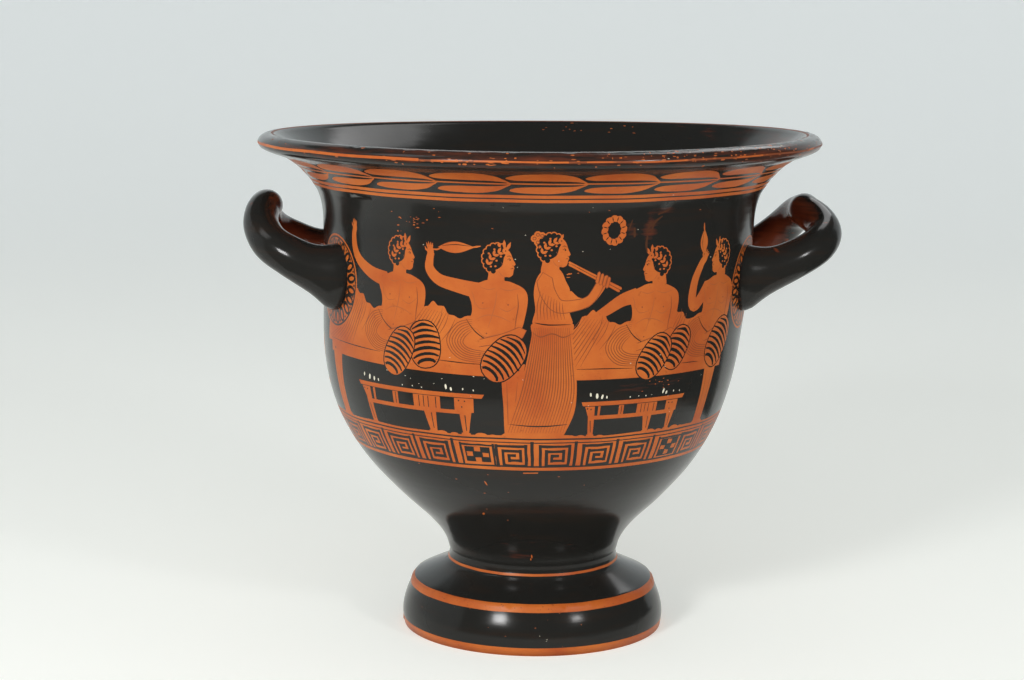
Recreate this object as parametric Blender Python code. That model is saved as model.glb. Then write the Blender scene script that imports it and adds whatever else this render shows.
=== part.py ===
"""A Greek bell krater: a mixing bowl thrown in clay, with two upturned loop handles and a disc foot.

Metres, +Z up. The origin is on the ground below the middle of the foot, the handles lie along X,
and the main picture faces -Y. Bowl, foot and handles are fired as one piece.
"""

import math

import bmesh
import bpy
from mathutils import Vector

# Foot: a thick disc with a convex edge, from the ground up
FOOT_RADIUS = 0.0874
FOOT_EDGE_HEIGHT = 0.0050
FOOT_EDGE_TUCK = 0.0012
FOOT_RIM_INSET = 0.0004
FOOT_MOULDING_HEIGHT = 0.0222
FOOT_MOULDING_SLOPE = 0.0054
FOOT_BEVEL_HEIGHT = 0.0048
FOOT_BEVEL_WIDTH = 0.0022
SHELF_RISE = 0.0116
FOOT_RING_WIDTH = 0.0110
FOOT_HOLLOW_HEIGHT = 0.0370

# Stem: the narrow place between foot and bowl, with a low fillet round its base
STEM_RADIUS = 0.0556
STEM_HEIGHT = 0.0062
STEM_FILLET = 0.0018

# Bowl: a rounded belly that rises into a nearly upright wall
BOWL_HEIGHT = 0.2200
BOWL_RADIUS = 0.1410
WALL_THICKNESS = 0.0068
FLOOR_THICKNESS = 0.0270

# Mouth: a neck that opens into a ridge, a hollow flare and a rounded lip
NECK_HEIGHT = 0.0236
NECK_SPREAD = 0.0052
RIDGE_HEIGHT = 0.0040
RIDGE_SPREAD = 0.0030
FLARE_HEIGHT = 0.0163
FLARE_SPREAD = 0.0192
LIP_HEIGHT = 0.0139
LIP_OVERHANG = 0.0148
LIP_TOP_WIDTH = 0.0030

# Handles: round loops that leave the wall, rise and turn upright. The right one was set on a little
# askew: it reaches further, leans back more and its back arm climbs sooner.
HANDLE_ROOT_ANGLE = 20.8
HANDLE_ROOT_HEIGHT = 0.2405
HANDLE_RADIUS = 0.0104
HANDLE_SWELL = 0.0034
HANDLE_FOOTING_WIDTH = 0.0032
HANDLE_FOOTING_DEPTH = 0.0095
HANDLE_FOOTING_LENGTH = 0.0140
HANDLE_FOOTING_FALL = 1.5
LEFT_HANDLE_RISE = 0.0390
LEFT_HANDLE_REACH = 0.0500
LEFT_HANDLE_LEAN = 0.0030
RIGHT_HANDLE_RISE = 0.0366
RIGHT_HANDLE_REACH = 0.0552
RIGHT_HANDLE_LEAN = 0.0085

# An arm's middle line from the wall to near the handle's top, as shares of reach, half width and rise
EVEN_ARM_SHARES = (
    (0.34, 1.00, 0.13),
    (0.62, 0.96, 0.30),
    (0.85, 0.83, 0.48),
    (0.98, 0.56, 0.71),
    (0.99, 0.27, 0.91),
)
LOW_ARM_SHARES = (
    (0.34, 1.00, 0.14),
    (0.62, 0.96, 0.32),
    (0.85, 0.83, 0.50),
    (0.98, 0.56, 0.68),
    (0.96, 0.27, 0.86),
)
STEEP_ARM_SHARES = (
    (0.28, 1.00, 0.07),
    (0.52, 0.97, 0.31),
    (0.73, 0.86, 0.61),
    (0.84, 0.61, 0.86),
    (0.88, 0.30, 0.97),
)

# How finely the curves are drawn
SEGMENTS = 56
HANDLE_SIDES = 12
HANDLE_STATIONS = 28
PATH_STEPS = 6
BOWL_STEPS = 2
LONG_CURVE_STEPS = 5
CURVE_STEPS = 4
SHORT_CURVE_STEPS = 2

# The two points that pull a curve, as shares (across, up) of the step it bridges
MOULDING_PULL_SHARES = ((-0.20, 0.25), (0.19, 0.60))
BEVEL_PULL_SHARES = ((0.15, 0.40), (0.45, 0.85))
SHELF_PULL_SHARES = ((0.45, 0.42), (0.84, 0.70))
FILLET_PULL_SHARES = ((0.20, 0.10), (0.80, 0.35))
NECK_PULL_SHARES = ((0.00, 0.45), (0.45, 0.75))
RIDGE_PULL_SHARES = ((0.35, 0.00), (0.20, 0.10))
FLARE_PULL_SHARES = ((0.24, 0.36), (0.58, 0.78))
FLOOR_PULL_SHARES = ((0.45, 0.00), (0.72, 0.09))
INNER_MOUTH_PULL_SHARES = ((0.10, 0.34), (0.54, 0.66))
HOLLOW_PULL_SHARES = ((0.03, 0.62), (0.52, 1.00))

# Free outlines, as shares (across, up) of the step they bridge
BOWL_CURVE_SHARES = (
    (0.000, 0.000),
    (0.045, 0.050),
    (0.158, 0.108),
    (0.382, 0.191),
    (0.613, 0.292),
    (0.775, 0.393),
    (0.878, 0.494),
    (0.943, 0.612),
    (0.977, 0.780),
    (1.000, 1.000),
)
LIP_CURVE_SHARES = ((0.28, 0.09), (0.78, 0.29), (0.98, 0.48), (0.99, 0.68), (0.84, 0.88), (0.56, 1.00))

# Where the inside follows the outside at the wall's thickness, as shares of floor to wall top
INNER_WALL_SHARES = (0.140, 0.217, 0.303, 0.407, 0.536, 0.725, 0.897)
NECK_MIDDLE_SHARE = 0.5

CLAY_BLACK = (0.010, 0.010, 0.009, 1.0)
CLAY_BLACK_ROUGHNESS = 0.22


def smooth_through(points, steps):
    """A Catmull-Rom curve through the points, with so many steps between two of them."""
    ends = [points[0] * 2 - points[1], *points, points[-1] * 2 - points[-2]]
    curve = []
    for a, b, c, d in zip(ends, ends[1:], ends[2:], ends[3:]):
        slope = (c - a) / 2
        bend = (a * 2 - b * 5 + c * 4 - d) / 2
        twist = (b * 3 - a - c * 3 + d) / 2
        for step in range(steps):
            t = step / steps
            curve.append(b + slope * t + bend * t**2 + twist * t**3)
    return [*curve, points[-1]]


def stepped(start, across, up, shares):
    """Points at the given shares of a step that goes so far across and up from the start."""
    return [start + Vector((across * out, up * rise)) for out, rise in shares]


def pulled(start, across, up, pulls, steps):
    """Points after the start on a cubic curve that goes so far across and up, and ends there."""
    near, far = stepped(start, across, up, pulls)
    end = start + Vector((across, up))
    shares = [step / steps for step in range(1, steps + 1)]
    return [
        start * (1 - t) ** 3 + near * 3 * t * (1 - t) ** 2 + far * 3 * t**2 * (1 - t) + end * t**3
        for t in shares
    ]


def foot_outline():
    """The foot's outer side as (radius, height) points, from the ground to the base of the stem."""
    moulding_spread = FOOT_RIM_INSET - FOOT_MOULDING_SLOPE
    points = [
        Vector((FOOT_RADIUS - FOOT_EDGE_TUCK, 0.0)),
        Vector((FOOT_RADIUS - FOOT_RIM_INSET, FOOT_EDGE_HEIGHT)),
    ]
    points += pulled(
        points[-1], moulding_spread, FOOT_MOULDING_HEIGHT, MOULDING_PULL_SHARES, LONG_CURVE_STEPS
    )
    points += pulled(points[-1], -FOOT_BEVEL_WIDTH, FOOT_BEVEL_HEIGHT, BEVEL_PULL_SHARES, SHORT_CURVE_STEPS)
    shelf_spread = STEM_RADIUS + STEM_FILLET - points[-1].x
    points += pulled(points[-1], shelf_spread, SHELF_RISE, SHELF_PULL_SHARES, CURVE_STEPS)
    return points


def bowl_outline(base):
    """The bowl's outer side above the narrowest place of the stem."""
    stem = Vector((STEM_RADIUS, base))
    stations = stepped(stem, BOWL_RADIUS - STEM_RADIUS, BOWL_HEIGHT, BOWL_CURVE_SHARES)
    return smooth_through(stations, BOWL_STEPS)[1:]


def mouth_outline(base):
    """Neck, ridge, flare and lip above the bowl's wall, up to the outer edge of the lip's top."""
    points = pulled(Vector((BOWL_RADIUS, base)), NECK_SPREAD, NECK_HEIGHT, NECK_PULL_SHARES, CURVE_STEPS)
    points += pulled(points[-1], RIDGE_SPREAD, RIDGE_HEIGHT, RIDGE_PULL_SHARES, SHORT_CURVE_STEPS)
    points += pulled(points[-1], FLARE_SPREAD, FLARE_HEIGHT, FLARE_PULL_SHARES, CURVE_STEPS)
    points += stepped(points[-1], LIP_OVERHANG, LIP_HEIGHT, LIP_CURVE_SHARES)
    return points


def stem_top():
    """The height of the narrowest place of the stem."""
    return foot_outline()[-1].y + STEM_HEIGHT


def outer_outline():
    """The whole outer side, from the ground to the outer edge of the lip's top."""
    points = foot_outline()
    points += pulled(points[-1], -STEM_FILLET, STEM_HEIGHT, FILLET_PULL_SHARES, SHORT_CURVE_STEPS)
    points += bowl_outline(points[-1].y)
    points += mouth_outline(points[-1].y)
    return points


def radius_at(outline, height):
    """The outline's radius at a height, and how fast the radius grows with height there."""
    for low, high in zip(outline, outline[1:]):
        if low.y <= height < high.y:
            slope = (high.x - low.x) / (high.y - low.y)
            return low.x + slope * (height - low.y), slope
    return outline[-1].x, 0.0


def inner_outline(outline):
    """The bowl's inside, from the middle of its floor up to the inner edge of the lip's top."""
    floor = FOOT_HOLLOW_HEIGHT + FLOOR_THICKNESS
    wall_top = stem_top() + BOWL_HEIGHT
    heights = [floor + (wall_top - floor) * share for share in INNER_WALL_SHARES]
    heights += [wall_top + NECK_HEIGHT * NECK_MIDDLE_SHARE, wall_top + NECK_HEIGHT]
    wall = []
    for height in heights:
        radius, slope = radius_at(outline, height)
        wall.append(Vector((radius - WALL_THICKNESS * math.hypot(1.0, slope), height)))
    start = Vector((0.0, floor))
    points = [start, *pulled(start, wall[0].x, wall[0].y - floor, FLOOR_PULL_SHARES, LONG_CURVE_STEPS)]
    points += wall[1:]
    crest = outline[-1] - Vector((LIP_TOP_WIDTH, 0.0)) - points[-1]
    return points + pulled(points[-1], crest.x, crest.y, INNER_MOUTH_PULL_SHARES, LONG_CURVE_STEPS)


def hollow_outline():
    """The hollow under the foot, from the inner edge of the resting ring to the middle."""
    edge = Vector((FOOT_RADIUS - FOOT_EDGE_TUCK - FOOT_RING_WIDTH, 0.0))
    return [edge, *pulled(edge, -edge.x, FOOT_HOLLOW_HEIGHT, HOLLOW_PULL_SHARES, LONG_CURVE_STEPS)]


def clay_material():
    """Fired clay under a black gloss slip."""
    material = bpy.data.materials.new("black gloss slip on fired clay")
    material.use_nodes = True
    shader = material.node_tree.nodes["Principled BSDF"]
    shader.inputs["Base Color"].default_value = CLAY_BLACK
    shader.inputs["Roughness"].default_value = CLAY_BLACK_ROUGHNESS
    shader.inputs["Metallic"].default_value = 0.0
    return material


def vessel(outline):
    """Bowl, stem and foot, turned about the upright axis."""
    profile = inner_outline(outline) + outline[::-1] + hollow_outline()
    mesh = bpy.data.meshes.new("krater")
    mesh.from_pydata(
        [(point.x, 0.0, point.y) for point in profile],
        [(i, i + 1) for i in range(len(profile) - 1)],
        [],
    )
    krater = bpy.data.objects.new("krater", mesh)
    bpy.context.scene.collection.objects.link(krater)
    turning = krater.modifiers.new("turned on the wheel", "SCREW")
    turning.axis = "Z"
    turning.steps = SEGMENTS
    turning.render_steps = SEGMENTS
    turning.use_merge_vertices = True
    turning.merge_threshold = 0.00001
    return krater


def handle_path(outline, reach, rise, lean, front_arm, back_arm):
    """The middle line of one handle towards +X, from its root at -Y round to its root at +Y."""
    angle = math.radians(HANDLE_ROOT_ANGLE)
    wall = radius_at(outline, HANDLE_ROOT_HEIGHT)[0]
    span = BOWL_RADIUS + reach - HANDLE_RADIUS - wall * math.cos(angle)
    halves = []
    for way, arm in ((-1, front_arm), (1, back_arm)):
        root = Vector((wall * math.cos(angle), way * wall * math.sin(angle), HANDLE_ROOT_HEIGHT))
        inside = Vector((root.x, root.y, 0.0)).normalized() * WALL_THICKNESS / 2
        half = [root - inside, root]
        for along, across, up in arm:
            half.append(root + Vector((span * along, root.y * (across - 1.0), rise * up)))
        halves.append(half)
    top = Vector((halves[0][1].x + span - lean, 0.0, HANDLE_ROOT_HEIGHT + rise))
    return smooth_through([*halves[0], top, *halves[1][::-1]], PATH_STEPS)


def handle(name, outline, side, path):
    """One closed handle, thickened where it meets the wall. Its ends stay inside the wall."""
    lengths = [0.0]
    for a, b in zip(path, path[1:]):
        lengths.append(lengths[-1] + (b - a).length)
    mesh = bmesh.new()
    rings = []
    for station in range(HANDLE_STATIONS + 1):
        wanted = lengths[-1] * station / HANDLE_STATIONS
        at = max(i for i, length in enumerate(lengths[:-1]) if length <= wanted)
        share = (wanted - lengths[at]) / (lengths[at + 1] - lengths[at])
        centre = path[at].lerp(path[at + 1], share)
        along = (path[at + 1] - path[at]).normalized()
        upward = (Vector((0.0, 0.0, 1.0)) - along * along.z).normalized()
        across = along.cross(upward)
        from_end = lengths[-1] * min(station, HANDLE_STATIONS - station) / HANDLE_STATIONS
        radius = HANDLE_RADIUS + HANDLE_SWELL * (1.0 - from_end / (lengths[-1] / 2))
        footing = math.exp(-((from_end / HANDLE_FOOTING_LENGTH) ** HANDLE_FOOTING_FALL))
        half_width = radius + HANDLE_FOOTING_WIDTH * footing
        half_depth = radius + HANDLE_FOOTING_DEPTH * footing
        ring = []
        for corner in range(HANDLE_SIDES):
            turn = 2 * math.pi * corner / HANDLE_SIDES
            point = centre + upward * math.cos(turn) * half_depth + across * math.sin(turn) * half_width
            if station in (0, HANDLE_STATIONS):
                inside = radius_at(outline, point.z)[0] - WALL_THICKNESS / 2
                flat = Vector((point.x, point.y, 0.0))
                point = flat.normalized() * inside + Vector((0.0, 0.0, point.z))
            ring.append(mesh.verts.new((point.x * side, point.y, point.z)))
        rings.append(ring)
    for a, b in zip(rings, rings[1:]):
        for corner in range(HANDLE_SIDES):
            after = (corner + 1) % HANDLE_SIDES
            mesh.faces.new((a[corner], a[after], b[after], b[corner]))
    for ring in (rings[0], rings[-1]):
        middle = mesh.verts.new(sum((vert.co for vert in ring), Vector()) / HANDLE_SIDES)
        for corner in range(HANDLE_SIDES):
            mesh.faces.new((ring[corner], ring[(corner + 1) % HANDLE_SIDES], middle))
    bmesh.ops.recalc_face_normals(mesh, faces=mesh.faces)
    data = bpy.data.meshes.new(name)
    mesh.to_mesh(data)
    mesh.free()
    loop = bpy.data.objects.new(name, data)
    loop.hide_render = True
    loop.display_type = "WIRE"
    bpy.context.scene.collection.objects.link(loop)
    return loop


def main():
    for old in list(bpy.data.objects):
        bpy.data.objects.remove(old)
    outline = outer_outline()
    krater = vessel(outline)
    krater.data.materials.append(clay_material())
    left_path = handle_path(
        outline, LEFT_HANDLE_REACH, LEFT_HANDLE_RISE, LEFT_HANDLE_LEAN, EVEN_ARM_SHARES, EVEN_ARM_SHARES
    )
    right_path = handle_path(
        outline, RIGHT_HANDLE_REACH, RIGHT_HANDLE_RISE, RIGHT_HANDLE_LEAN, LOW_ARM_SHARES, STEEP_ARM_SHARES
    )
    for name, side, path in (("left handle", -1, left_path), ("right handle", 1, right_path)):
        joining = krater.modifiers.new(name, "BOOLEAN")
        joining.operation = "UNION"
        joining.solver = "EXACT"
        joining.object = handle(name, outline, side, path)


main()
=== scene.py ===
import math
import random

import bpy
import numpy as np
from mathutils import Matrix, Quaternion, Vector
from mathutils.geometry import delaunay_2d_cdt


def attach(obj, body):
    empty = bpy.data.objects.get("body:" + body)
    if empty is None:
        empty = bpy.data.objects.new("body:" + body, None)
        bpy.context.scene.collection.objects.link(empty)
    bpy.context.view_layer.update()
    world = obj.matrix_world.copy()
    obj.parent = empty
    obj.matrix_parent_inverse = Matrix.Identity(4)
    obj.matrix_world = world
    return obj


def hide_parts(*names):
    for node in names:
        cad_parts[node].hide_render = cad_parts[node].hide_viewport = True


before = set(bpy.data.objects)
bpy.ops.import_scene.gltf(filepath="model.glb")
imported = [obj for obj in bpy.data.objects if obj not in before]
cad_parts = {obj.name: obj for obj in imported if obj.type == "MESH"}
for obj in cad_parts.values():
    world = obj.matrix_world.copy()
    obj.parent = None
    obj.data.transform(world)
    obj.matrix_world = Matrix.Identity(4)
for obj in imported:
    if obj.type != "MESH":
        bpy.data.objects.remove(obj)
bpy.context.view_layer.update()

# The pot: bowl, stem, foot and mouth, thrown from one ball of clay on the wheel and fired as one piece.
# Its wall is about 7 mm thick, and it is hollow under the foot. Heights and radii are in metres.
FOOT_RADIUS = 0.0874
FOOT_EDGE_HEIGHT = 0.0050
FOOT_EDGE_TUCK = 0.0012
FOOT_EDGE_ROUND = 0.0011
FOOT_RIM_INSET = 0.0004
FOOT_MOULDING_HEIGHT = 0.0222
FOOT_MOULDING_SLOPE = 0.0054
FOOT_BEVEL_HEIGHT = 0.0048
FOOT_BEVEL_WIDTH = 0.0022
SHELF_RISE = 0.0116
FOOT_RING_WIDTH = 0.0110
FOOT_HOLLOW_HEIGHT = 0.0370
STEM_RADIUS = 0.0556
STEM_HEIGHT = 0.0062
STEM_FILLET = 0.0018
BOWL_HEIGHT = 0.2200
WALL_RADIUS = 0.1410
WALL_THICKNESS = 0.0068
FLOOR_THICKNESS = 0.0270
NECK_HEIGHT = 0.0236
NECK_SPREAD = 0.0052
RIDGE_HEIGHT = 0.0040
RIDGE_SPREAD = 0.0030
FLARE_HEIGHT = 0.0163
FLARE_SPREAD = 0.0192
LIP_HEIGHT = 0.0139
LIP_OVERHANG = 0.0148
LIP_TOP_WIDTH = 0.0030
BOWL_CURVE = (
    (0.000, 0.000), (0.045, 0.050), (0.158, 0.108), (0.382, 0.191), (0.613, 0.292),
    (0.775, 0.393), (0.878, 0.494), (0.943, 0.612), (0.977, 0.780), (1.000, 1.000),
)
MOULDING_PULLS = ((-0.20, 0.25), (0.19, 0.60))
BEVEL_PULLS = ((0.15, 0.40), (0.45, 0.85))
SHELF_PULLS = ((0.45, 0.42), (0.84, 0.70))
STEM_PULLS = ((0.20, 0.10), (0.80, 0.35))
NECK_PULLS = ((0.00, 0.45), (0.45, 0.75))
RIDGE_PULLS = ((0.35, 0.00), (0.20, 0.10))
FLARE_PULLS = ((0.24, 0.36), (0.58, 0.78))
FLOOR_PULLS = ((0.45, 0.00), (0.72, 0.09))
MOUTH_PULLS = ((0.10, 0.34), (0.54, 0.66))
HOLLOW_PULLS = ((0.03, 0.62), (0.52, 1.00))
LIP_CURVE = ((0.00, 0.00), (0.28, 0.09), (0.78, 0.29), (0.98, 0.48), (0.99, 0.68), (0.84, 0.88), (0.56, 1.00))
SLOPE_STEP = 0.0006
WALL_RINGS = 60
EVEN_WALL_FROM = 0.14
COLUMN_COUNT = 178


def smooth_through(points, steps):
    """A smooth curve through the points, with so many steps between two of them."""
    ends = [points[0] * 2 - points[1], *points, points[-1] * 2 - points[-2]]
    curve = []
    for a, b, c, d in zip(ends, ends[1:], ends[2:], ends[3:]):
        for step in range(steps):
            t = step / steps
            bend = (a * 2 - b * 5 + c * 4 - d) / 2
            twist = (b * 3 - a - c * 3 + d) / 2
            curve.append(b + (c - a) / 2 * t + bend * t**2 + twist * t**3)
    return [*curve, points[-1]]


def pulled(start, across, up, pulls, steps):
    """Points after the start on a curve that ends so far across and up, drawn by two pull points."""
    a, b = (start + Vector((across * out, up * rise)) for out, rise in pulls)
    end = start + Vector((across, up))
    shares = [step / steps for step in range(1, steps + 1)]
    return [
        start * (1 - t) ** 3 + a * 3 * t * (1 - t) ** 2 + b * 3 * t**2 * (1 - t) + end * t**3
        for t in shares
    ]


def outer_side():
    """The outer side as (radius, height), from the resting ring up to the lip's top."""
    side = [
        Vector((FOOT_RADIUS - FOOT_EDGE_TUCK, 0.0)),
        Vector((FOOT_RADIUS - FOOT_EDGE_TUCK * 0.3, FOOT_EDGE_ROUND)),
        Vector((FOOT_RADIUS - FOOT_RIM_INSET, FOOT_EDGE_HEIGHT)),
    ]
    moulding = FOOT_RIM_INSET - FOOT_MOULDING_SLOPE
    side += pulled(side[-1], moulding, FOOT_MOULDING_HEIGHT, MOULDING_PULLS, 12)
    side += pulled(side[-1], -FOOT_BEVEL_WIDTH, FOOT_BEVEL_HEIGHT, BEVEL_PULLS, 5)
    shelf = STEM_RADIUS + STEM_FILLET - side[-1].x
    side += pulled(side[-1], shelf, SHELF_RISE, SHELF_PULLS, 10)
    side += pulled(side[-1], -STEM_FILLET, STEM_HEIGHT, STEM_PULLS, 5)
    stem = side[-1].copy()
    bowl = [stem + Vector(((WALL_RADIUS - STEM_RADIUS) * out, BOWL_HEIGHT * up)) for out, up in BOWL_CURVE]
    side += smooth_through(bowl, 8)[1:]
    side += pulled(side[-1], NECK_SPREAD, NECK_HEIGHT, NECK_PULLS, 8)
    side += pulled(side[-1], RIDGE_SPREAD, RIDGE_HEIGHT, RIDGE_PULLS, 5)
    side += pulled(side[-1], FLARE_SPREAD, FLARE_HEIGHT, FLARE_PULLS, 10)
    under_lip = side[-1].copy()
    lip = [under_lip + Vector((LIP_OVERHANG * out, LIP_HEIGHT * up)) for out, up in LIP_CURVE]
    return side + smooth_through(lip, 4)[1:], stem.y


def inner_side(outer, stem_height):
    """The inside, from the lip's top down to the middle of the floor, one wall thickness in."""
    floor = FOOT_HOLLOW_HEIGHT + FLOOR_THICKNESS
    wall_top = stem_height + BOWL_HEIGHT
    neck_top = wall_top + NECK_HEIGHT
    low = floor + (wall_top - floor) * EVEN_WALL_FROM
    radii = [point.x for point in outer]
    heights = [point.y for point in outer]
    wall = []
    for height in np.linspace(low, neck_top, WALL_RINGS):
        below, radius = np.interp((height - SLOPE_STEP, height), heights, radii)
        across = WALL_THICKNESS * math.hypot(1.0, (radius - below) / SLOPE_STEP)
        wall.append(Vector((radius - across, height)))
    start = Vector((0.0, floor))
    inside = [start, *pulled(start, wall[0].x, wall[0].y - floor, FLOOR_PULLS, 18)]
    inside += wall[1:]
    crest = outer[-1] - Vector((LIP_TOP_WIDTH, 0.0)) - inside[-1]
    inside += pulled(inside[-1], crest.x, crest.y, MOUTH_PULLS, 14)
    return inside[::-1]


def foot_hollow():
    """The hollow under the foot, from its middle out to the resting ring."""
    edge = Vector((FOOT_RADIUS - FOOT_EDGE_TUCK - FOOT_RING_WIDTH, 0.0))
    return [edge, *pulled(edge, -edge.x, FOOT_HOLLOW_HEIGHT, HOLLOW_PULLS, 16)][::-1]


outer, stem_height = outer_side()
inside = inner_side(outer, stem_height)
profile = foot_hollow() + outer + inside
along = np.concatenate(([0.0], np.cumsum([(b - a).length for a, b in zip(profile, profile[1:])])))
ring_at = len(foot_hollow()) - 1
lip_at = ring_at + len(outer)
outer_heights = np.array([point.y for point in outer]) * 1000
outer_along = along[ring_at + 1 : lip_at + 1] * 1000


# The painting: figures and ornament left in the colour of the clay while the ground round them was
# covered with black slip, then drawn over with fine lines. It is laid out flat in millimetres, where s
# runs round the wall from the middle of the front and z is the height. Later shapes cover earlier ones.
CLAY, GLOSS, LINE, WASH, PALE, WHITE, THIN = range(7)
SHEET_RIGHT = 306.0
SHEET_WIDTH = 2000 * math.pi * WALL_RADIUS
SHEET_LEFT = SHEET_RIGHT - SHEET_WIDTH
painting = []
hand = random.Random(5)
THIN_END = 0.35
OUTLINE = 0.9
BAND_STEPS = 96


def trimmed(outline, edge, side):
    """The part of an outline to the left (1) or to the right (-1) of an upright line."""
    kept = []
    for (ax, ay), (bx, by) in zip(outline, outline[1:] + outline[:1]):
        if (ax - edge) * side <= 0:
            kept.append((ax, ay))
        if ((ax - edge) * side <= 0) != ((bx - edge) * side <= 0):
            kept.append((edge, ay + (by - ay) * (edge - ax) / (bx - ax)))
    return kept


def paint(colour, outline):
    """Adds one outline to the painting, carried round the back where it crosses the seam."""
    for turns in (-1, 0, 1):
        shifted = [(s + turns * SHEET_WIDTH, z) for s, z in outline]
        inner = trimmed(trimmed(shifted, SHEET_RIGHT, 1), SHEET_LEFT, -1)
        if len(inner) > 2:
            painting.append((colour, inner))


def curve_through(points, closed=False, spacing=1.6):
    """A smooth curve through the points, with a step about every so many millimetres."""
    if closed:
        ends = [points[-1], *points, points[0], points[1]]
    else:
        ends = [points[0], *points, points[-1]]
    curve = []
    for a, b, c, d in zip(ends, ends[1:], ends[2:], ends[3:]):
        steps = max(1, round(math.dist(b[:2], c[:2]) / spacing))
        for step in range(steps):
            t = step / steps
            curve.append(tuple(
                q + (r - p) / 2 * t
                + (p - 2.5 * q + 2 * r - s / 2) * t**2
                + (1.5 * (q - r) + (s - p) / 2) * t**3
                for p, q, r, s in zip(a, b, c, d)
            ))
    return curve if closed else [*curve, points[-1]]


def brushed(path, widths):
    """The outline of a brush stroke along a smooth path. One width makes a stroke with thin ends."""
    if isinstance(widths, (int, float)):
        if len(path) == 2:
            path = [path[0], ((path[0][0] + path[1][0]) / 2, (path[0][1] + path[1][1]) / 2), path[1]]
        widths = [widths * THIN_END] + [widths] * (len(path) - 2) + [widths * THIN_END]
    middle = curve_through([(x, y, w) for (x, y), w in zip(path, widths)])
    left, right = [], []
    for i, (x, y, width) in enumerate(middle):
        ax, ay, _ = middle[max(i - 1, 0)]
        bx, by, _ = middle[min(i + 1, len(middle) - 1)]
        size = math.hypot(bx - ax, by - ay) or 1.0
        nx, ny = -(by - ay) / size * width / 2, (bx - ax) / size * width / 2
        left.append((x + nx, y + ny))
        right.append((x - nx, y - ny))
    tips = []
    for (x, y, width), (ax, ay, _) in ((middle[-1], middle[-2]), (middle[0], middle[1])):
        size = math.hypot(x - ax, y - ay) or 1.0
        tips.append((x + (x - ax) / size * width / 2, y + (y - ay) / size * width / 2))
    return [*left, tips[0], *right[::-1], tips[1]]


def on_oval(turn, across, up):
    """The point of an oval at a turn in degrees."""
    return across * math.cos(math.radians(turn)), up * math.sin(math.radians(turn))


def moved(points, x, z, flip=1, turn=0.0):
    """Points turned, mirrored where flip is -1, and carried to a place on the wall."""
    c, s = math.cos(math.radians(turn)), math.sin(math.radians(turn))
    return [(x + flip * (u * c - w * s), z + u * s + w * c) for u, w in points]


class Brush:
    """Draws from one place on the wall."""

    def __init__(self, x=0, z=0, flip=1, turn=0.0):
        self.place = (x, z, flip, turn)

    def shape(self, colour, points):
        paint(colour, moved(points, *self.place))

    def blob(self, colour, points):
        paint(colour, curve_through(moved(points, *self.place), closed=True))

    def line(self, colour, points, width):
        paint(colour, brushed(moved(points, *self.place), width))

    def lines(self, colour, width, *paths):
        for path in paths:
            self.line(colour, path, width)

    def folds(self, colour, width, count, first, last):
        """Lines that change evenly from the first to the last."""
        for k in range(count):
            path = [tuple(a + (b - a) * k / (count - 1) for a, b in zip(p, q)) for p, q in zip(first, last)]
            self.line(colour, path, width)

    def limb(self, points, widths, edge=None):
        if edge is not None:
            self.line(edge, points, [w + OUTLINE for w in widths])
        self.line(CLAY, points, widths)

    def oval(self, colour, x, z, width, height, turn=0.0, corners=0):
        corners = corners or max(8, round(width + height))
        ring = [on_oval(360 * k / corners, width / 2, height / 2) for k in range(corners)]
        self.shape(colour, moved(ring, x, z, 1, turn))

    def leaf(self, colour, x, z, length, width, turn):
        upper = [(0, 0), (length * 0.3, width * 0.42), (length * 0.6, width * 0.45), (length, 0)]
        lower = [(u, -w) for u, w in upper[::-1]]
        sides = curve_through(upper, spacing=1.2) + curve_through(lower, spacing=1.2)[1:-1]
        self.shape(colour, moved(sides, x, z, 1, turn))


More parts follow.
